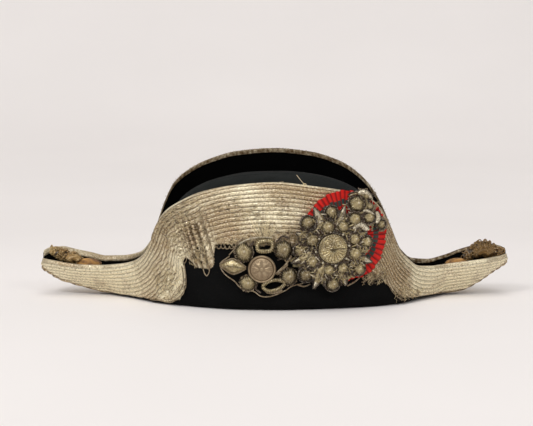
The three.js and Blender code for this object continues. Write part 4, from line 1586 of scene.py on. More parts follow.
@dataclass
class Needlework:
    """Metal embroidery, laid on the near flap."""

    shop: Workshop
    finishes: Finishes

    @property
    def materials(self) -> tuple[Material, ...]:
        """The materials, in the order of Finishing."""
        return self.finishes.bullion, self.finishes.ray, self.finishes.coil, self.finishes.lace_edge

    def spot(self, x: float, z: float) -> Array:
        """A place on the flap's flat map."""
        return self.shop.form.spot(x, z)

    def lay(self, run: Array, b: Array, lift: Array | float) -> Array:
        """Points over the flap.

        Args:
            run: their distances along its flat map.
            b: their girths.
            lift: how far they stand off the felt.

        Returns:
            Their places in the hat's frame.
        """
        return self.shop.form.on_flap(run, b, lift)

    def over(self, path: Array, lift: Array | float) -> Array:
        """A path on the flat map, laid over the flap."""
        return self.lay(path[:, 0], path[:, 1], lift)

    def disc(
        self, bundle: Bundle, spot: Array, right: Array, up: Array, lift: Array, uv: Array, shade_and_specks: Array
    ) -> None:
        """Adds a round surface over the flap.

        Args:
            bundle: where it goes.
            spot: its middle on the flat map.
            right: how far each point is along the flat map from there. A row is a ring.
            up: how far each is up it.
            lift: how far each stands off the felt.
            uv: a pair of numbers for each.
            shade_and_specks: how far each is darkened by painted shade in its crevice.
        """
        points = self.lay(spot[0] + right, spot[1] + up, lift)
        bundle.surface(points, grid_faces(*lift.shape, wrap_columns=True), uv, shade_and_specks)

    def wound(self, bundle: Bundle, solid: str) -> Piece:
        """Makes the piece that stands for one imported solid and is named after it."""
        return bundle.make(self.shop, solid + "_wound", self.materials, [solid])

    def ring(
        self, spot: Array, radius: float, lift: float, count: int = 40, start: float = 0, sweep: float = TAU
    ) -> Array:
        """Points on a circle, or part of one, over the flap.

        Args:
            spot: its middle on the flat map.
            radius: its radius.
            lift: how far it stands off the felt.
            count: how many points it has.
            start: the angle of its first.
            sweep: the angle that it goes through.

        Returns:
            Their places in the hat's frame.
        """
        angle = start + np.linspace(0, sweep, count, endpoint=sweep < TAU)
        run, b = spot[0] + radius * np.cos(angle), spot[1] + radius * np.sin(angle)
        return self.lay(run, b, lift)

    def boss(self, bundle: Bundle, boss: Boss, seed: int) -> None:
        """Adds a dome whose threads run from its middle to its edge, with a small bright bead near its top as
        a painted highlight.

        Args:
            bundle: where it goes.
            boss: its place and size.
            seed: chooses its unevenness.
        """
        rng = np.random.default_rng(seed)
        spot = self.spot(boss.x, boss.z)
        threads, per = int(10 + boss.radius * 1.6), 5
        count = threads * per
        turn = np.arange(count) / per
        angle = turn / threads * TAU + rng.uniform(0, 1)
        ridge = np.abs(np.sin(math.pi * turn)) ** 0.7
        uneven = 1 + 0.05 * np.sin(2 * angle + rng.uniform(0, 6))
        uneven = uneven + 0.04 * np.sin(5 * angle + rng.uniform(0, 6))
        thread = rng.uniform(0.93, 1.07, threads)[(np.arange(count) // per) % threads]
        t = np.array(BOSS_RINGS)[:, None]
        fringe = 1 + (thread - 1) * smoothstep(0.6, 1, t)
        reach = boss.radius * t * (uneven * (1 - 0.06 * (1 - ridge) * t) * fringe)
        dome = boss.height * (1 - (0.93 * t) ** 2.4) ** 0.75 + 0.55 * smoothstep(0.24, 0.08, t)
        lift = boss.base + dome + 0.6 * ridge * smoothstep(0.12, 0.5, t)
        lift[-1] = boss.base
        # Painted shade between the threads and towards the dome's edge, so that only its top stays bright.
        shade_and_specks = smoothstep(0.75, 0.15, ridge)[None, :] * smoothstep(0.15, 0.5, t)
        shade_and_specks = np.maximum(shade_and_specks, smoothstep(0.45, 1.0, t) * 0.85)
        uv = together(reach, angle * boss.radius)
        self.disc(bundle, spot, reach * np.cos(angle), reach * np.sin(angle), lift, uv, shade_and_specks)
        # A small bright bead near the dome's top, a painted highlight.
        painted_glint = spot + boss.radius * np.array([0.12, 0.1])
        self.beads(bundle, painted_glint[None, :], boss.base + boss.height + 0.55, 0.15 * boss.radius)
        if boss.coiled:
            ring = self.ring(spot, boss.radius + 0.5, boss.base + 0.8)
            bundle.thread(ring, 0.95, Finishing.COIL, closed=True, twist=1.15)

    def chips(
        self, bundle: Bundle, spot: Array, near: float, far: float, lift: float, count: int, seed: int
    ) -> None:
        """Adds short curled bits of wound thread between two radii about a spot.

        Args:
            bundle: where they go.
            spot: the place that they lie about.
            near: the least distance from it.
            far: the greatest distance from it.
            lift: how far they stand off the felt.
            count: how many there are.
            seed: chooses them.
        """
        finishes = [Finishing.BULLION, Finishing.RAY, Finishing.COIL]
        rng = np.random.default_rng(seed)
        for _ in range(count):
            angle, distance = rng.uniform(0, TAU), math.sqrt(rng.uniform(near**2, far**2))
            heading = angle + rng.normal(0, 0.5) + (math.pi / 2 if rng.random() < 0.35 else 0)
            size = rng.uniform(1.4, 2.8)
            t = np.linspace(-1, 1, 5)
            run = spot[0] + distance * math.cos(angle) + size * t * math.cos(heading)
            b = spot[1] + distance * math.sin(angle) + size * t * math.sin(heading)
            rise = lift + 0.9 * (1 - t**2) + rng.uniform(-0.2, 0.5)
            finish = rng.choice(finishes, p=CHIP_SHARES)
            bundle.thread(self.lay(run, b, rise), rng.uniform(0.28, 0.55), int(finish))

    def beads(self, bundle: Bundle, places: Array, lift: float, radius: float) -> None:
        """Adds small bright round beads at places on the flat map."""
        rings, sides = 7, 9
        up, turn = np.linspace(0, math.pi, rings)[:, None], np.arange(sides)[None, :] * TAU / sides
        ball = radius * together(np.sin(up) * np.cos(turn), np.sin(up) * np.sin(turn), np.cos(up))
        faces = grid_faces(rings, sides, wrap_columns=True)
        for place in self.over(places, lift):
            bundle.surface(place + ball, faces, together(up, turn), finish=Finishing.RAY)


@dataclass
class Star(Needlework):
    """The bullion star on the cockade."""

    medallion: float = 11.4
    bed: float = 30.5

    def build(self) -> list[Piece]:
        """Makes the star's bed, medallion, bosses and rays."""
        self.middle = self.spot(STAR_X, STAR_Z)
        pieces = [self._bed(), self._medallion()]
        for i, boss in enumerate(STAR_BOSSES):
            bundle = Bundle()
            self.boss(bundle, boss, 100 + i)
            if "outer" in boss.parts:
                self._arch(bundle, boss)
            pieces.append(self.wound(bundle, boss.parts))
        for ray in RAYS:
            bundle = Bundle()
            self._ray(bundle, ray)
            pieces.append(self.wound(bundle, ray.parts))
        return pieces

    def _bed(self) -> Piece:
        """The ground of laid threads that the rest is sewn on."""
        bundle = Bundle(sides=5)
        count = 400
        t = np.concatenate([np.linspace(0.1, 1, 40), [1.0]])[:, None]
        angle = full_turn(count)
        edge = self.bed + 2.4 * np.cos(8 * (angle - math.radians(22.5))) + 0.5 * np.sin(37 * angle)
        reach = t * edge
        radial = np.abs(np.sin(angle * 50 + 1.4 * np.sin(t * 17)))
        right, up = reach * np.cos(angle), reach * np.sin(angle)
        rough = Ripple(61)(right / 1.6, up / 1.6)
        lift = STAR_BASE - 1.2 + 0.55 * radial + 0.5 * rough
        lift[-1] = STAR_BASE - 3.0
        # Painted shade between the laid threads and in the low places.
        shade_and_specks = np.clip(0.55 * smoothstep(0.6, 0.1, radial) + 0.6 * smoothstep(0.2, -0.8, rough), 0, 1)
        self.disc(bundle, self.middle, right, up, lift, together(reach, angle * 20), shade_and_specks)
        self.chips(bundle, self.middle, self.medallion + 2, self.bed - 0.5, STAR_BASE + 0.1, 420, 71)
        self.chips(bundle, self.middle, self.medallion + 3, self.bed + 1, STAR_BASE + 1.4, 210, 72)
        turn = np.arange(8) * TAU / 8 + 0.15
        beads = self.middle + (self.medallion + 3.2) * together(np.cos(turn), np.sin(turn))
        self.beads(bundle, beads, STAR_BASE + 2.2, 1.05)
        return bundle.make(self.shop, "star_bed", self.materials, ["star_backing"])

    def _medallion(self) -> Piece:
        """The round middle: four quarters of ribs in a corded rim."""
        bundle = Bundle()
        count = 220
        t = np.concatenate([np.linspace(0.02, 1, 34), [1.0]])[:, None]
        angle = full_turn(count)
        reach = t * (self.medallion - 0.6)
        right, up = reach * np.cos(angle), reach * np.sin(angle)
        fan = np.abs(np.sin(angle * 11)) ** 0.7 * smoothstep(0.1, 0.5, t)
        leaf = np.abs(np.sin(np.hypot(np.abs(right) - 4.4, (up - 4.2) * 0.8) * 1.9)) ** 0.7
        ribs = np.where(up > 0, leaf, fan)
        cross = np.maximum(smoothstep(0.15, 0.7, np.abs(up)), 1.0 * (right < -1))
        height = 0.75 * ribs * np.clip(cross, 0, 1)
        bar = bump(up, 0.2, 0.5) * (right > 0.6) * 1.2
        lift = STAR_BASE + 2.6 + 0.9 * (1 - t**2) + height + bar
        lift[-1] = STAR_BASE - 1
        # Painted shade in the ribs' valleys and along the cross.
        shade_and_specks = np.clip(smoothstep(0.55, 0.05, ribs) + 1 - cross, 0, 1) * 0.8
        self.disc(bundle, self.middle, right, up, lift, together(right, up), shade_and_specks)
        rim = self.ring(self.middle, self.medallion, STAR_BASE + 2.7, 60)
        bundle.thread(rim, 1.15, Finishing.BULLION, closed=True, twist=1.5)
        outside = self.ring(self.middle, self.medallion + 1.9, STAR_BASE + 1.2, 60)
        bundle.thread(outside, 0.9, Finishing.COIL, closed=True, twist=1.2)
        return self.wound(bundle, "star_medallion")

    def _arch(self, bundle: Bundle, boss: Boss) -> None:
        """Adds the wire coils that arch round an outer boss, on its inner side."""
        spot = self.spot(boss.x, boss.z)
        inward = math.atan2(self.middle[1] - spot[1], self.middle[0] - spot[0])
        for grow, thick, lift, finish, sweep in (
            (1.9, 0.95, 1.9, Finishing.COIL, 3.5),
            (3.6, 0.75, 2.2, Finishing.BULLION, 3.0),
        ):
            ring = self.ring(spot, boss.radius + grow, boss.base + lift, 30, inward - sweep / 2, sweep)
            bundle.thread(ring, thick, finish, twist=1.2)

    def _ray(self, bundle: Bundle, ray: Ray) -> None:
        """Adds a ray: a ridged kite of plate thread between two coils."""
        tip = self.spot(ray.tip_x, ray.tip_z) - self.middle
        length = float(np.hypot(*tip))
        along = tip / length
        across = np.array([-along[1], along[0]])
        start, widest = self.medallion + 3.5, self.medallion + 10
        r = np.linspace(start, length, 64)[:, None]
        t = np.linspace(-1, 1, 15)[None, :]
        narrowing = np.clip((r - widest) / (length - widest), 0, 1)
        opening = smoothstep(start - 3, widest, r)
        half = ray.across * np.where(r > widest, 1 - narrowing**1.15, opening) + 0.25
        phase = (r + 0.55 * np.abs(t) * half) / 1.35
        ridge = np.abs(np.sin(math.pi * phase)) ** 0.8
        lift = STAR_BASE - 0.4 + 2.0 * (1 - np.abs(t) ** 1.6) * (half / ray.across) ** 0.5 + 0.6 * ridge
        lift = np.where(np.abs(t) == 1, STAR_BASE - 1.8, lift)
        place = self.middle + r[..., None] * along + (t * half)[..., None] * across
        points = self.lay(place[..., 0], place[..., 1], lift)
        # Painted shade in the ridges' valleys and down the middle.
        shade_and_specks = np.clip(0.8 * smoothstep(0.5, 0.1, ridge) + 0.5 * bump(t, 0, 0.12), 0, 1)
        uv = together(t * half, r)
        pale = start + (length - start) * (1 - 0.6 * ray.pale)
        faces = grid_faces(*lift.shape)
        row = faces[:, 0] // t.shape[1]
        for chosen, finish in ((r[row, 0] >= pale, Finishing.RAY), (r[row, 0] < pale, Finishing.BULLION)):
            bundle.surface(points, faces[chosen], uv, shade_and_specks, finish)
        for side in (-1, 1):
            edge = self.middle + r * along + side * (half + 0.35) * across
            bundle.thread(self.over(edge, STAR_BASE + 0.3), 0.62, Finishing.COIL, twist=1.1)


@dataclass
class Spray(Needlework):
    """The spray of bosses and plates beside the star's upper edge."""

    def build(self) -> list[Piece]:
        """Makes its bosses, each with what is sewn beside it."""
        pieces = []
        for i, boss in enumerate(SPRAY_BOSSES):
            bundle = Bundle()
            self.boss(bundle, boss, 200 + i)
            spot = self.spot(boss.x, boss.z)
            if i == 0:
                for grow, finish in ((2.4, Finishing.BULLION), (4.0, Finishing.COIL)):
                    ring = self.ring(spot, boss.radius + grow, boss.base + 1.6, 30, -1.3, 3.6)
                    bundle.thread(ring, 0.85, finish, twist=1.2)
            else:
                ring = self.ring(spot, boss.radius + 1.9, boss.base + 0.9, 24, 0.4 + i, 4.2)
                bundle.thread(ring, 0.75, Finishing.CORD, twist=1.2)
            self.chips(bundle, spot, boss.radius * 0.9, boss.radius + 4.5, boss.base - 0.6, 22, 300 + i)
            pieces.append(self.wound(bundle, boss.parts))
        return pieces + [self._plates()]

    def _plates(self) -> Piece:
        """The ridged plates that curl between the bosses."""
        bundle = Bundle()
        for start, middle, end, wide in (
            ((70.5, 103.8), (76.5, 104.4), (82.6, 98.6), 2.3),
            ((66.5, 72.0), (72.5, 75.0), (79.5, 70.5), 3.0),
            ((86.5, 86.5), (88.0, 80.5), (86.5, 75.5), 1.8),
            ((74.5, 87.5), (79.0, 87.2), (84.0, 84.0), 1.6),
        ):
            count = 36
            path = through([self.spot(*p) for p in (start, middle, end)], count)
            step = np.gradient(path, axis=0)
            side = np.stack([-step[:, 1], step[:, 0]], -1) / np.linalg.norm(step, axis=1, keepdims=True)
            t = np.linspace(-1, 1, 9)[None, :]
            s = np.linspace(0, 1, count)[:, None]
            half = wide * np.sin(math.pi * (0.12 + 0.76 * s)) ** 0.6
            place = path[:, None] + side[:, None] * (t * half)[..., None]
            ridge = np.abs(np.sin(s * count * 0.9))
            lift = 8.6 + 1.5 * (1 - t**2) + 0.4 * ridge
            points = self.lay(place[..., 0], place[..., 1], lift)
            uv = together(t * half, s * 20)
            # Painted shade in the ridges' valleys.
            shade_and_specks = smoothstep(0.4, 0.0, ridge) * 0.8
            bundle.surface(points, grid_faces(*lift.shape), uv, shade_and_specks, Finishing.RAY)
            for way in (-1, 1):
                edge = path + side * way * (half + 0.3)
                bundle.thread(self.over(edge, 8.5), 0.6, Finishing.COIL, twist=1.1)
        return bundle.make(self.shop, "spray_plates", self.materials)


@dataclass
class Wreath(Needlework):
    """The wreath of flowers and loops round the button, and the neck that joins it to the star."""

    def build(self) -> list[Piece]:
        """Makes its flowers, leaf, loops and cords."""
        pieces = []
        for i, boss in enumerate(WREATH_BOSSES):
            bundle = Bundle()
            self.boss(bundle, boss, 400 + i)
            spot = self.spot(boss.x, boss.z)
            self._petals(bundle, spot, boss)
            pieces.append(self.wound(bundle, boss.parts))
        pieces += [self._leaf(), self._loop_above(), self._loop_below(), self._cords()]
        return pieces

    def _petals(self, bundle: Bundle, spot: Array, boss: Boss) -> None:
        """Adds the loops of wire that stand out round a flower."""
        count = int(boss.radius * 3)
        for k in range(count):
            angle = k / count * TAU
            t = np.linspace(0, 1, 7)
            reach = boss.radius * 0.86 + 1.9 * np.sin(math.pi * t)
            sweep = angle + (t - 0.5) * 0.34
            run, b = spot[0] + reach * np.cos(sweep), spot[1] + reach * np.sin(sweep)
            lift = boss.base + 0.5 + 0.3 * np.sin(math.pi * t)
            finish = Finishing.COIL if k % 2 else Finishing.CORD
            bundle.thread(self.lay(run, b, lift), 0.34, finish)

    def _leaf(self) -> Piece:
        """The pointed leaf at the wreath's outer end."""
        bundle = Bundle()
        spot, long, across = self.spot(-36.6, 40.0), 11.5, 6.2
        s, t = np.linspace(-1, 1, 44)[:, None], np.linspace(-1, 1, 15)[None, :]
        half = across * (1 - np.abs(s) ** 1.35) + 0.2
        ridge = np.abs(np.sin(math.pi * (s * long + 0.7 * np.abs(t) * half) / 1.5)) ** 0.8
        lift = 2.9 + 3.0 * (1 - np.abs(t) ** 1.5) * (1 - np.abs(s) ** 3) + 0.8 * ridge
        lift = np.where(np.abs(t) == 1, 2.9, lift)
        run, b = np.broadcast_arrays(spot[0] + s * long, spot[1] + t * half - 0.1 * s * long)
        points = self.lay(run, b, lift)
        # Painted shade in the ridges' valleys and down the middle.
        shade_and_specks = np.clip(0.8 * smoothstep(0.5, 0.1, ridge) + 0.5 * bump(t, 0, 0.1), 0, 1)
        uv = together(t * half, s * long)
        bundle.surface(points, grid_faces(*lift.shape), uv, shade_and_specks)
        for side in (-1, 1):
            edge = np.concatenate([spot[0] + s * long, spot[1] + side * (half + 0.5) - 0.1 * s * long], 1)
            bundle.thread(self.over(edge, 3.8), 0.62, Finishing.CORD, twist=1.1)
        return self.wound(bundle, "wreath_leaf")

    def _wound_loop(
        self, bundle: Bundle, rows: Sequence[Sequence[float]], thick: float, base: float, finish: Finishing
    ) -> None:
        """Adds a closed loop of thickly wound cord.

        Args:
            bundle: where it goes.
            rows: the x and z of the places that it goes through.
            thick: the cord's radius.
            base: the lift of its underside.
            finish: its material.
        """
        path = through([self.spot(*p) for p in rows], 48, closed=True)
        bundle.thread(self.over(path, base + thick), thick, finish, closed=True, twist=1.5)

    def _loop_above(self) -> Piece:
        """The loop over the button."""
        bundle = Bundle(sides=9)
        rows = ((-15.4, 57.4), (-13.0, 61.8), (-4.0, 62.6), (-2.0, 58.6), (-4.2, 54.2), (-13.2, 53.8))
        self._wound_loop(bundle, rows, 1.9, 2.6, Finishing.BULLION)
        top = [(-31.5, 59.5), (-24.5, 63.5), (-13, 65.8), (-2.5, 65.4)]
        path = through([self.spot(*p) for p in top], 30)
        bundle.thread(self.over(path, 4.6), 0.75, Finishing.RAY, twist=1.3)
        return bundle.make(self.shop, "wreath_loop_above", self.materials, ["wreath_loop_1"])

    def _loop_below(self) -> Piece:
        """The leaf-shaped loop under the button."""
        bundle = Bundle(sides=9)
        rows = ((-10.5, 22.5), (-5.0, 27.2), (2.5, 28.4), (8.5, 25.6), (3.5, 20.8), (-5.0, 18.6))
        self._wound_loop(bundle, rows, 1.7, 2.4, Finishing.BULLION)
        self._wound_loop(bundle, ((-7.5, 17.4), (-1, 16.6), (6, 19.2), (0, 17.8)), 0.9, 2.6, Finishing.CORD)
        return bundle.make(self.shop, "wreath_loop_below", self.materials, ["wreath_loop_2"])

    def _cords(self) -> Piece:
        """The fine cords that outline the wreath and cross in the neck."""
        bundle = Bundle()
        fine, lift = 0.5, 3.6
        outline = [(-39.6, 49), (-47.5, 42), (-44, 33.5), (-35.5, 27), (-29.5, 20.8), (-18.5, 18)]
        outline += [(-12, 13.8), (-3, 14), (8.6, 18.8), (14.5, 22.6), (24.5, 25.2)]
        tracks = [
            (outline, fine, Finishing.CORD),
            ([(-40, 50), (-35.5, 55.5), (-33, 61), (-25, 66.5)], fine, Finishing.CORD),
            ([(14.4, 49.5), (9.6, 42.5), (3.2, 36.2), (0.6, 33.8)], 0.95, Finishing.CORD),
            ([(8.4, 46.6), (10.6, 41.8), (6.2, 37.4), (1.8, 33)], 0.8, Finishing.CORD),
            ([(2, 45.6), (7, 48.2), (12.5, 45.8), (16.2, 41.6)], 0.7, Finishing.COIL),
            ([(12.2, 60.5), (12, 66.5), (16.5, 68.6), (20.5, 64.2), (25.5, 61)], 0.7, Finishing.CORD),
            ([(1.2, 61.8), (6.5, 66.6), (12.6, 65)], 0.8, Finishing.COIL),
            ([(13.4, 44.6), (17.6, 47.6), (24, 45), (22, 40.8), (15.6, 41)], 1.3, Finishing.BULLION),
            ([(19.2, 24.2), (25.2, 22.4), (31, 24.5)], 0.7, Finishing.CORD),
            ([(63.5, 21.5), (72, 26.5), (81.5, 36.5)], 0.7, Finishing.CORD),
            ([(-18.5, 62.2), (-20.8, 57), (-18.6, 50.8)], 0.9, Finishing.COIL),
            ([(-15.2, 25.4), (-16.6, 20.6), (-12.4, 16.8)], 0.9, Finishing.COIL),
        ]
        for rows, thick, finish in tracks:
            path = through([self.spot(*p) for p in rows], 12 * len(rows))
            bundle.thread(self.over(path, lift), thick, finish, twist=1.2)
        return bundle.make(self.shop, "wreath_cords", self.materials)


@dataclass(frozen=True)
class Turned:
    """A ring of the button: its share of the radius, and its height in millimetres."""

    reach: float
    rise: float


BUTTON_PROFILE: tuple[Turned, ...] = (
    Turned(0, 5.9),
    Turned(0.3, 5.7),
    Turned(0.6, 5.1),
    Turned(0.78, 4.3),
    Turned(0.815, 3.6),
    Turned(0.85, 3.5),
    Turned(0.9, 4.2),
    Turned(0.95, 4.25),
    Turned(1.0, 3.5),
    Turned(1.02, 2.6),
)


@dataclass
class Button(Needlework):
    """The domed button: a raised rim round a small rosette."""

    x: float = -11.3
    z: float = 38.0
    radius: float = 12.0

    def build(self) -> list[Piece]:
        """Makes the button."""
        spot = self.spot(self.x, self.z)
        t = np.concatenate([np.linspace(0.01, 0.97, 56), [1.0, 1.02, 0.98, 0.93]])[:, None]
        count = 240
        angle = full_turn(count)
        rise = np.interp(t, [p.reach for p in BUTTON_PROFILE], [p.rise for p in BUTTON_PROFILE])
        right, up = t * np.cos(angle), t * np.sin(angle)
        petals = smoothstep(0.1, 0.7, np.cos(6 * angle) * 0.5 + 0.5) * bump(t, 0.38, 0.13)
        eye = smoothstep(0.14, 0.08, t)
        dots = smoothstep(0.55, 0.85, np.cos(30 * angle)) * bump(t, 0.68, 0.045)
        leaves = smoothstep(0.3, 0.8, np.cos(12 * angle + math.pi)) * bump(t, 0.56, 0.05)
        relief = 0.55 * petals + 0.5 * eye + 0.35 * dots + 0.28 * leaves
        lift = 2.5 + rise * 0.95 + relief * (t < 0.8)
        lift[-2:] = [[3.2], [2.5]]
        # Painted shade in the groove inside the rim and in the rosette's low places.
        shade_and_specks = np.clip(bump(t, 0.83, 0.03) + smoothstep(0.3, 0.0, relief) * 0.35 * (t < 0.75), 0, 1)
        bundle = Bundle()
        right, up = right * self.radius, up * self.radius
        self.disc(bundle, spot, right, up, lift, together(right, up), shade_and_specks)
        return [bundle.make(self.shop, "button_stamped", (self.finishes.button,), ["button"])]


@dataclass(frozen=True)
class Wire:
    """A loose wire or cord over the near flap, in millimetres. places has the x and z that it passes."""

    places: tuple[tuple[float, float], ...]
    lift: float
    radius: float
    wound: bool = False


WIRES: tuple[Wire, ...] = (
    Wire(
        ((-80.6, 40), (-79.2, 29), (-79.6, 18), (-86, 8.4), (-94.2, 3.4), (-103, 4.2), (-113, 3.4)),
        lift=1.9,
        radius=0.55,
        wound=True,
    ),
    Wire(((-82.8, 38), (-81.4, 29), (-82, 19.5), (-88, 10.6), (-95, 6), (-104, 6.6)), 2.3, 0.45, True),
    Wire(((-91, 6), (-84, 9.5), (-80.4, 14.1), (-81.4, 21.4), (-88.1, 14.3), (-92, 7.5)), 3.0, 0.4),
    Wire(((-63.8, 38.5), (-62.6, 33.5), (-60.3, 30.4), (-58.2, 33.5), (-57.4, 39)), 1.8, 0.45),
    Wire(((-83, 45), (-80.6, 40.5), (-78.6, 43.5), (-79.2, 47)), 1.6, 0.35),
    Wire(((98, 33.6), (99.4, 26), (102, 19), (106.2, 12), (111, 7.6), (118, 4.4)), 2.0, 0.5, True),
    Wire(((100.5, 33), (102, 26), (104.8, 19), (109, 12.6), (114, 8.6)), 2.4, 0.35),
    Wire(((77, 24), (84, 26.5), (90, 28.6), (97, 32)), 2.2, 0.5, True),
    Wire(((0, 111.4), (2.4, 113.8), (7.4, 114.6)), 2.6, 0.22),
)


@dataclass(frozen=True)
class Patch:
    """Loose strands over part of the near flap, in millimetres. way is their mean direction, in degrees."""

    x: float
    z: float
    half_wide: float
    half_tall: float
    count: int
    way: float
    spread: float
    length: float
    lift: float


PATCHES: tuple[Patch, ...] = (
    Patch(-86, 74, 24, 24, 520, 10, 40, 2.4, 2.5),
    Patch(-66, 50, 9, 12, 130, 100, 25, 3.0, 2.9),
    Patch(-98, 22, 13, 15, 170, 80, 30, 3.0, 2.2),
    Patch(-22, 62, 30, 4.5, 300, 20, 90, 1.9, 2.0),
    Patch(-9, 70, 8, 7, 70, 90, 35, 3.6, 3.2),
    Patch(12, 68, 10, 8, 80, 60, 60, 2.2, 2.6),
    Patch(88, 27, 10, 5, 190, 70, 80, 2.6, 2.2),
    Patch(115, 13, 7, 8, 130, 120, 60, 2.4, 1.8),
    Patch(126, 9, 12, 5, 90, 20, 50, 2.4, 1.8),
    Patch(-20, 88, 70, 18, 420, 2, 10, 2.2, 2.35),
    Patch(92, 60, 12, 26, 200, 75, 40, 2.0, 2.3),
)


@dataclass
class LooseEnds(Needlework):
    """The frayed strands, wires and stitches that stand off the worn lace."""

    seed: int = 500
    strand: float = 0.2
    upright_x: float = 26.4
    hairs: int = 1500

    @property
    def materials(self) -> tuple[Material, ...]:
        """The materials: frayed strips, edging cord and dark wire."""
        return self.finishes.fray, self.finishes.lace_edge, self.finishes.coil

    def build(self) -> list[Piece]:
        """Makes the wires and edgings, the frayed strands and the far rim's hairs."""
        return [self._wires(), self._strands(), self._hairs()]

    def _wires(self) -> Piece:
        """The edging cords, the wires that have come free and the border's hanging loops."""
        bundle = Bundle(sides=5)
        for wire in WIRES:
            path = through([self.spot(*p) for p in wire.places], 14 * len(wire.places))
            twist = 1.2 if wire.wound else 0.0
            bundle.thread(self.over(path, wire.lift), wire.radius, 1, twist=twist)
        t = np.linspace(0, math.pi, 12)
        for k, x in enumerate(np.linspace(-49.5, -34.5, 5)):
            start = self.spot(x, 57.6 + 0.3 * (k % 2))
            run, b = start[0] - 1.9 * np.cos(t), start[1] - 2.6 * np.sin(t)
            bundle.thread(self.lay(run, b, 1.1 + 0.5 * np.sin(t)), 0.5, 1, twist=1.1)
        x = np.array(self.upright_x)
        rim = self.shop.form.point(Flap.NEAR, x, self.shop.form.girth(Flap.NEAR, x))
        upright = rim + np.array([[0, -1.5, 0.5], [-0.8, -1.6, 3], [-4, -2.6, 7], [-7.2, -3, 11.2]])
        bundle.thread(through(upright, 24), 0.24, 0)
        turn = np.linspace(0, TAU, 16)[:-1]
        eye = rim + np.stack([1.3 * np.cos(turn), 0 * turn - 2.0, 2.0 + 1.5 * np.sin(turn)], -1)
        bundle.thread(eye, 0.32, 0, closed=True)
        return bundle.make(self.shop, "lace_wires", self.materials)

    def _strands(self) -> Piece:
        """Short bent strands in patches, and a fan of long ones over the middle of the border."""
        bundle = Bundle(sides=3)
        rng = np.random.default_rng(self.seed)
        t = np.linspace(-1, 1, 4)
        for patch in PATCHES:
            for _ in range(patch.count):
                at = self.spot(
                    patch.x + patch.half_wide * np.clip(rng.normal(0, 0.5), -1, 1),
                    patch.z + patch.half_tall * np.clip(rng.normal(0, 0.5), -1, 1),
                )
                way = math.radians(patch.way + rng.normal(0, patch.spread))
                size = patch.length * rng.uniform(0.3, 0.8)
                bend = rng.normal(0, 0.35) * size * (1 - t**2)
                run = at[0] + size * t * math.cos(way) - bend * math.sin(way)
                b = at[1] + size * t * math.sin(way) + bend * math.cos(way)
                x = self.shop.form.x_of(Flap.NEAR, run)
                b = np.minimum(b, self.shop.form.girth(Flap.NEAR, x) - 1.5)
                lift = patch.lift + rng.uniform(-0.4, 0.3) + 0.35 * t * rng.normal(0, 0.8)
                finish = int(rng.choice([0, 1, 2], p=(0.55, 0.25, 0.2)))
                bundle.thread(self.lay(run, b, lift), self.strand * rng.uniform(0.7, 1.3), finish)
        root = self.spot(-8.7, 62.5)
        s = np.linspace(0, 1, 8)
        for way in np.linspace(-0.62, 0.62, 17):
            way, size = way + rng.normal(0, 0.08), rng.uniform(11, 21)
            run = root[0] + 3.5 * way + size * s * math.sin(way) + rng.normal(0, 0.8) * s * (1 - s) * 3
            b = root[1] + size * s * math.cos(way)
            lift = 2.4 + 1.6 * np.sin(math.pi * s) + 0.4 * s
            bundle.thread(self.lay(run, b, lift), 0.26, 0)
        return bundle.make(self.shop, "lace_frays", self.materials)

    def _hairs(self) -> Piece:
        """The short worn threads that make the far rim's edge soft."""
        bundle = Bundle(sides=3)
        rng = np.random.default_rng(self.seed + 1)
        form = self.shop.form
        x = rng.uniform(-112, 112, self.hairs)
        top = form.point(Flap.FAR, x, form.girth(Flap.FAR, x))
        out = form.normal(Flap.FAR, x, form.girth(Flap.FAR, x) - 1, level=True)
        for place, way in zip(top, out):
            root = place + way * rng.uniform(-2.6, 0.2) + [0, 0, rng.uniform(0.6, 1.3)]
            lean = np.array([rng.normal(0, 0.9), rng.normal(0, 0.6), rng.uniform(0.3, 1.2)])
            path = root + np.linspace(0, 1, 3)[:, None] * lean * rng.uniform(0.8, 1.5)
            bundle.thread(path, 0.13, 1)
        return bundle.make(self.shop, "far_rim_fuzz", self.materials)


@dataclass(frozen=True)
class HornTassel:
    """A tassel's sizes in millimetres: its silk head, and the coiled mass that runs on to the horn's tip.

    reach has the x, z and radius of the mass, and fan those of its ridged roll.
    """

    name: str
    node: str
    head_start: float
    head_end: float
    head_low: float
    head_high: float
    head_wide: float
    coils: int
    coil_radius: float
    reach: tuple[tuple[float, float, float], ...]
    fan: tuple[float, float, float]
    seed: int


TASSELS: tuple[HornTassel, ...] = (
    HornTassel(
        name="rear_tassel",
        node="tassel_left",
        head_start=-163.5,
        head_end=-188,
        head_low=24.5,
        head_high=33.6,
        head_wide=9.4,
        coils=150,
        coil_radius=1.6,
        reach=((-184, 32, 5), (-191, 34.5, 6), (-198, 36.5, 6.4), (-204, 38.5, 5.5), (-210, 41, 4.2)),
        fan=(-189, 30.5, 8.5),
        seed=11,
    ),
    HornTassel(
        name="front_tassel",
        node="tassel_right",
        head_start=161.5,
        head_end=184,
        head_low=25,
        head_high=33.8,
        head_wide=8.8,
        coils=200,
        coil_radius=1.9,
        reach=(
            (180, 34.5, 5),
            (186, 40, 6.6),
            (193, 42.5, 8),
            (200, 43.5, 8),
            (207, 41, 6.4),
            (214.5, 38.5, 4.2),
        ),
        fan=(197, 36, 12.5),
        seed=12,
    ),
)


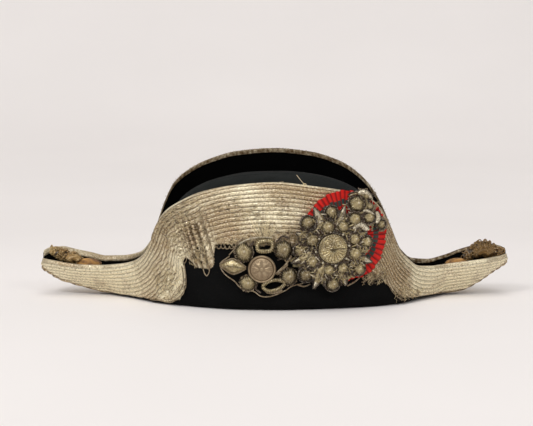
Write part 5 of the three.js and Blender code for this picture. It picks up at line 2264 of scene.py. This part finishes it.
@dataclass
class Tassels:
    """The tassels that lie in the horns."""

    shop: Workshop
    finishes: Finishes

    def build(self) -> list[Piece]:
        """Makes both tassels."""
        gilt = {"rear_tassel": self.finishes.gilt_left, "front_tassel": self.finishes.gilt_right}
        return [self._tassel(tassel, gilt[tassel.name]) for tassel in TASSELS]

    def _tassel(self, tassel: HornTassel, gilt: Material) -> Piece:
        """Makes one tassel: its head, and a matted mass of small coils over a dark core, a painted shade for
        the gaps between the coils.
        """
        bundle = Bundle(sides=6)
        self._head(bundle, tassel)
        rng = np.random.default_rng(tassel.seed)
        rows = through(tassel.reach, 40)
        shade_core = np.stack([rows[:, 0], 0 * rows[:, 0], rows[:, 1]], -1)
        # The dark core stands in for the shade in the gaps between the coils.
        bundle.thread(shade_core, rows[:, 2] * 0.72, 2)
        turn = np.linspace(0, TAU, 14)[:-1]
        for _ in range(tassel.coils):
            x, z, radius = rows[int(rng.integers(0, len(rows)))]
            angle = rng.uniform(0, TAU)
            out = np.array([0, math.cos(angle), math.sin(angle)])
            middle = np.array([x + rng.normal(0, 0.8), 0, z]) + out * radius * rng.uniform(0.72, 0.92)
            size = tassel.coil_radius * rng.uniform(0.7, 1.25)
            first = rng.normal(0, 1, 3)
            first = first / np.linalg.norm(first)
            second = np.cross(first, out + rng.normal(0, 0.7, 3))
            second = second / np.linalg.norm(second)
            loop = middle + size * (np.cos(turn)[:, None] * first + np.sin(turn)[:, None] * second)
            loop[:, 2] = np.maximum(loop[:, 2], z - radius)
            bundle.thread(loop, rng.uniform(0.4, 0.62), 1, closed=True, twist=1.2)
        self._fan(bundle, tassel)
        finishes = self.finishes.silk, gilt, self.finishes.coil
        return bundle.make(self.shop, tassel.name, finishes, [tassel.node])

    @staticmethod
    def _fan(bundle: Bundle, tassel: HornTassel) -> None:
        """Adds the ridged roll of bullion that spreads over the tassel's near side."""
        x, z, size = tassel.fan
        for angle in np.linspace(0.55, 2.6, 15):
            t = np.linspace(0.3, 1, 10)
            across = -6.8 - 1.5 * np.sin(math.pi * t)
            path = np.stack([x + size * t * math.cos(angle), across, z + size * t * math.sin(angle)], -1)
            bundle.thread(path, 0.3 + 0.3 * t, 1, twist=1.4)

    def _head(self, bundle: Bundle, tassel: HornTassel) -> None:
        """Adds the silk head: strands laid lengthwise over a smooth pad."""
        count, rows = 120, 40
        s = np.linspace(0, 1, rows)[:, None]
        angle = full_turn(count)
        swell = np.sin(math.pi * np.clip(0.04 + 0.86 * s, 0, 1)) ** 0.62
        strand = np.abs(np.sin(angle * 26 + 0.6 * np.sin(s * 5))) * 0.3
        middle = (tassel.head_low + tassel.head_high) / 2 - 1.0
        tall = (tassel.head_high - tassel.head_low) / 2 + 1.0
        x = tassel.head_start + s * (tassel.head_end - tassel.head_start) + 0 * angle
        y = (tassel.head_wide * swell + strand) * np.cos(angle)
        z = middle + (tall * swell + strand) * np.sin(angle)
        uv = together(s * 25, angle * tassel.head_wide)
        way = 1 if tassel.head_end > tassel.head_start else -1
        faces = grid_faces(rows, count, wrap_columns=True)[:, ::way]
        bundle.surface(np.stack([x, y, z], -1), faces, uv, 0.0, 0)


@dataclass(frozen=True)
class SoftBox:
    """A square soft light: its place in millimetres, its side in metres and its power in watts."""

    name: str
    place: tuple[float, float, float]
    size: float
    power: float


@dataclass
class Studio:
    """The pale floor, the soft light and the camera."""

    shop: Workshop
    elevation: float = 7.0
    distance: float = 1400.0
    target: tuple[float, float, float] = (-7.5, 0.0, 77.0)
    focal_px: float = 1485.9
    frame_px: tuple[int, int] = (533, 426)
    room: float = 0.35
    key: float = 1.34
    boxes: tuple[SoftBox, ...] = (
        SoftBox("upper_left", (-900, -1200, 1400), 0.35, 7.0),
        SoftBox("upper_right", (900, -1300, 1000), 0.35, 3.0),
        SoftBox("overhead", (0, 100, 1700), 0.9, 4.0),
    )

    def build(self) -> None:
        """Sets the scene."""
        self._floor()
        self._lights()
        self._camera()

    def _floor(self) -> None:
        """A floor that rises into the backdrop."""
        profile = through([(-2200, 0), (0, 0), (900, 0), (1700, 120), (2200, 700), (2400, 2600)], 60)
        xs = np.linspace(-3200, 3200, 3)
        points = np.stack([np.stack([np.full(60, x), profile[:, 0], profile[:, 1]], -1) for x in xs])
        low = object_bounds()[0][2] / MM
        points[..., 2] += low - self.shop.shift[2]
        material, b, shader = new_material("pale paper floor")
        place = b.add("ShaderNodeTexCoord").outputs["Object"]
        tone = b.stretch(b.noise(place, 3.0, 2.0), 0.3, 0.7)
        b.feed(shader.inputs["Base Color"], b.mix(tone, srgb(238, 233, 230), srgb(241, 236, 233)))
        shader.inputs["Roughness"].default_value = 0.9
        floor = self.shop.mesh("floor", points, grid_faces(3, 60)[:, ::-1], material)
        floor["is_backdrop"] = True

    def _lights(self) -> None:
        """A pale room with a broad soft light overhead and one from the front left."""
        world = bpy.data.worlds.new("studio")
        world.use_nodes = True
        world.node_tree.nodes["Background"].inputs["Color"].default_value = srgb(252, 250, 250)
        world.node_tree.nodes["Background"].inputs["Strength"].default_value = self.room
        bpy.context.scene.world = world
        sun = bpy.data.lights.new("soft_key", "SUN")
        sun.energy, sun.angle = self.key, math.radians(60)
        self._aim(sun, (-500, -1500, 2300))
        for lamp in self.boxes:
            data = bpy.data.lights.new(lamp.name, "AREA")
            data.size, data.energy = lamp.size, lamp.power
            self._aim(data, lamp.place)
        bpy.context.scene.view_settings.view_transform = "Standard"

    def _aim(self, data: bpy.types.Light, place: tuple[float, float, float]) -> None:
        """Hangs a light at a place and points it at the hat."""
        lamp = bpy.data.objects.new(data.name, data)
        lamp.location = Vector(self.shop.to_row(np.array(place)))
        aim = Vector(self.shop.to_row(np.array([0, 0, 50]))) - lamp.location
        lamp.rotation_euler = aim.to_track_quat("-Z", "Y").to_euler()
        bpy.context.collection.objects.link(lamp)

    def _camera(self) -> None:
        """The camera, as the photograph's perspective gives it."""
        tilt = math.radians(self.elevation)
        back = Vector((0, -math.cos(tilt), math.sin(tilt)))
        target = Vector(self.shop.to_row(np.array(self.target)))
        data = bpy.data.cameras.new("camera")
        data.sensor_width = 36.0
        data.lens = self.focal_px / self.frame_px[0] * data.sensor_width
        data.clip_start, data.clip_end = 0.05, 20.0
        camera = bpy.data.objects.new("camera", data)
        camera.location = target + back * self.distance * MM
        camera.rotation_euler = (-back).to_track_quat("-Z", "Y").to_euler()
        bpy.context.collection.objects.link(camera)
        bpy.context.scene.camera = camera


def main() -> None:
    """Builds the hat, piece by piece, and the studio."""
    logging.basicConfig(level=logging.INFO, format="%(name)s: %(message)s")
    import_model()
    shop = Workshop()
    finishes = Finishes()
    builders = [
        FeltBody(shop, finishes),
        LaceBand(shop, finishes, Flap.NEAR, "near_lace_band", "lace_near", NEAR_FEET, 0.95, 0.55, True),
        LaceBand(shop, finishes, Flap.FAR, "far_lace_band", "lace_far", FAR_FEET, 1.5, 0.75, False),
        Cockade(shop, finishes),
        Star(shop, finishes),
        Spray(shop, finishes),
        Wreath(shop, finishes),
        Button(shop, finishes),
        LooseEnds(shop, finishes),
        Tassels(shop, finishes),
    ]
    for builder in builders:
        for piece in builder.build():
            log.info("%s: %d faces", piece.name, len(piece.data.polygons))
    Studio(shop).build()


if __name__ == "__main__":
    main()
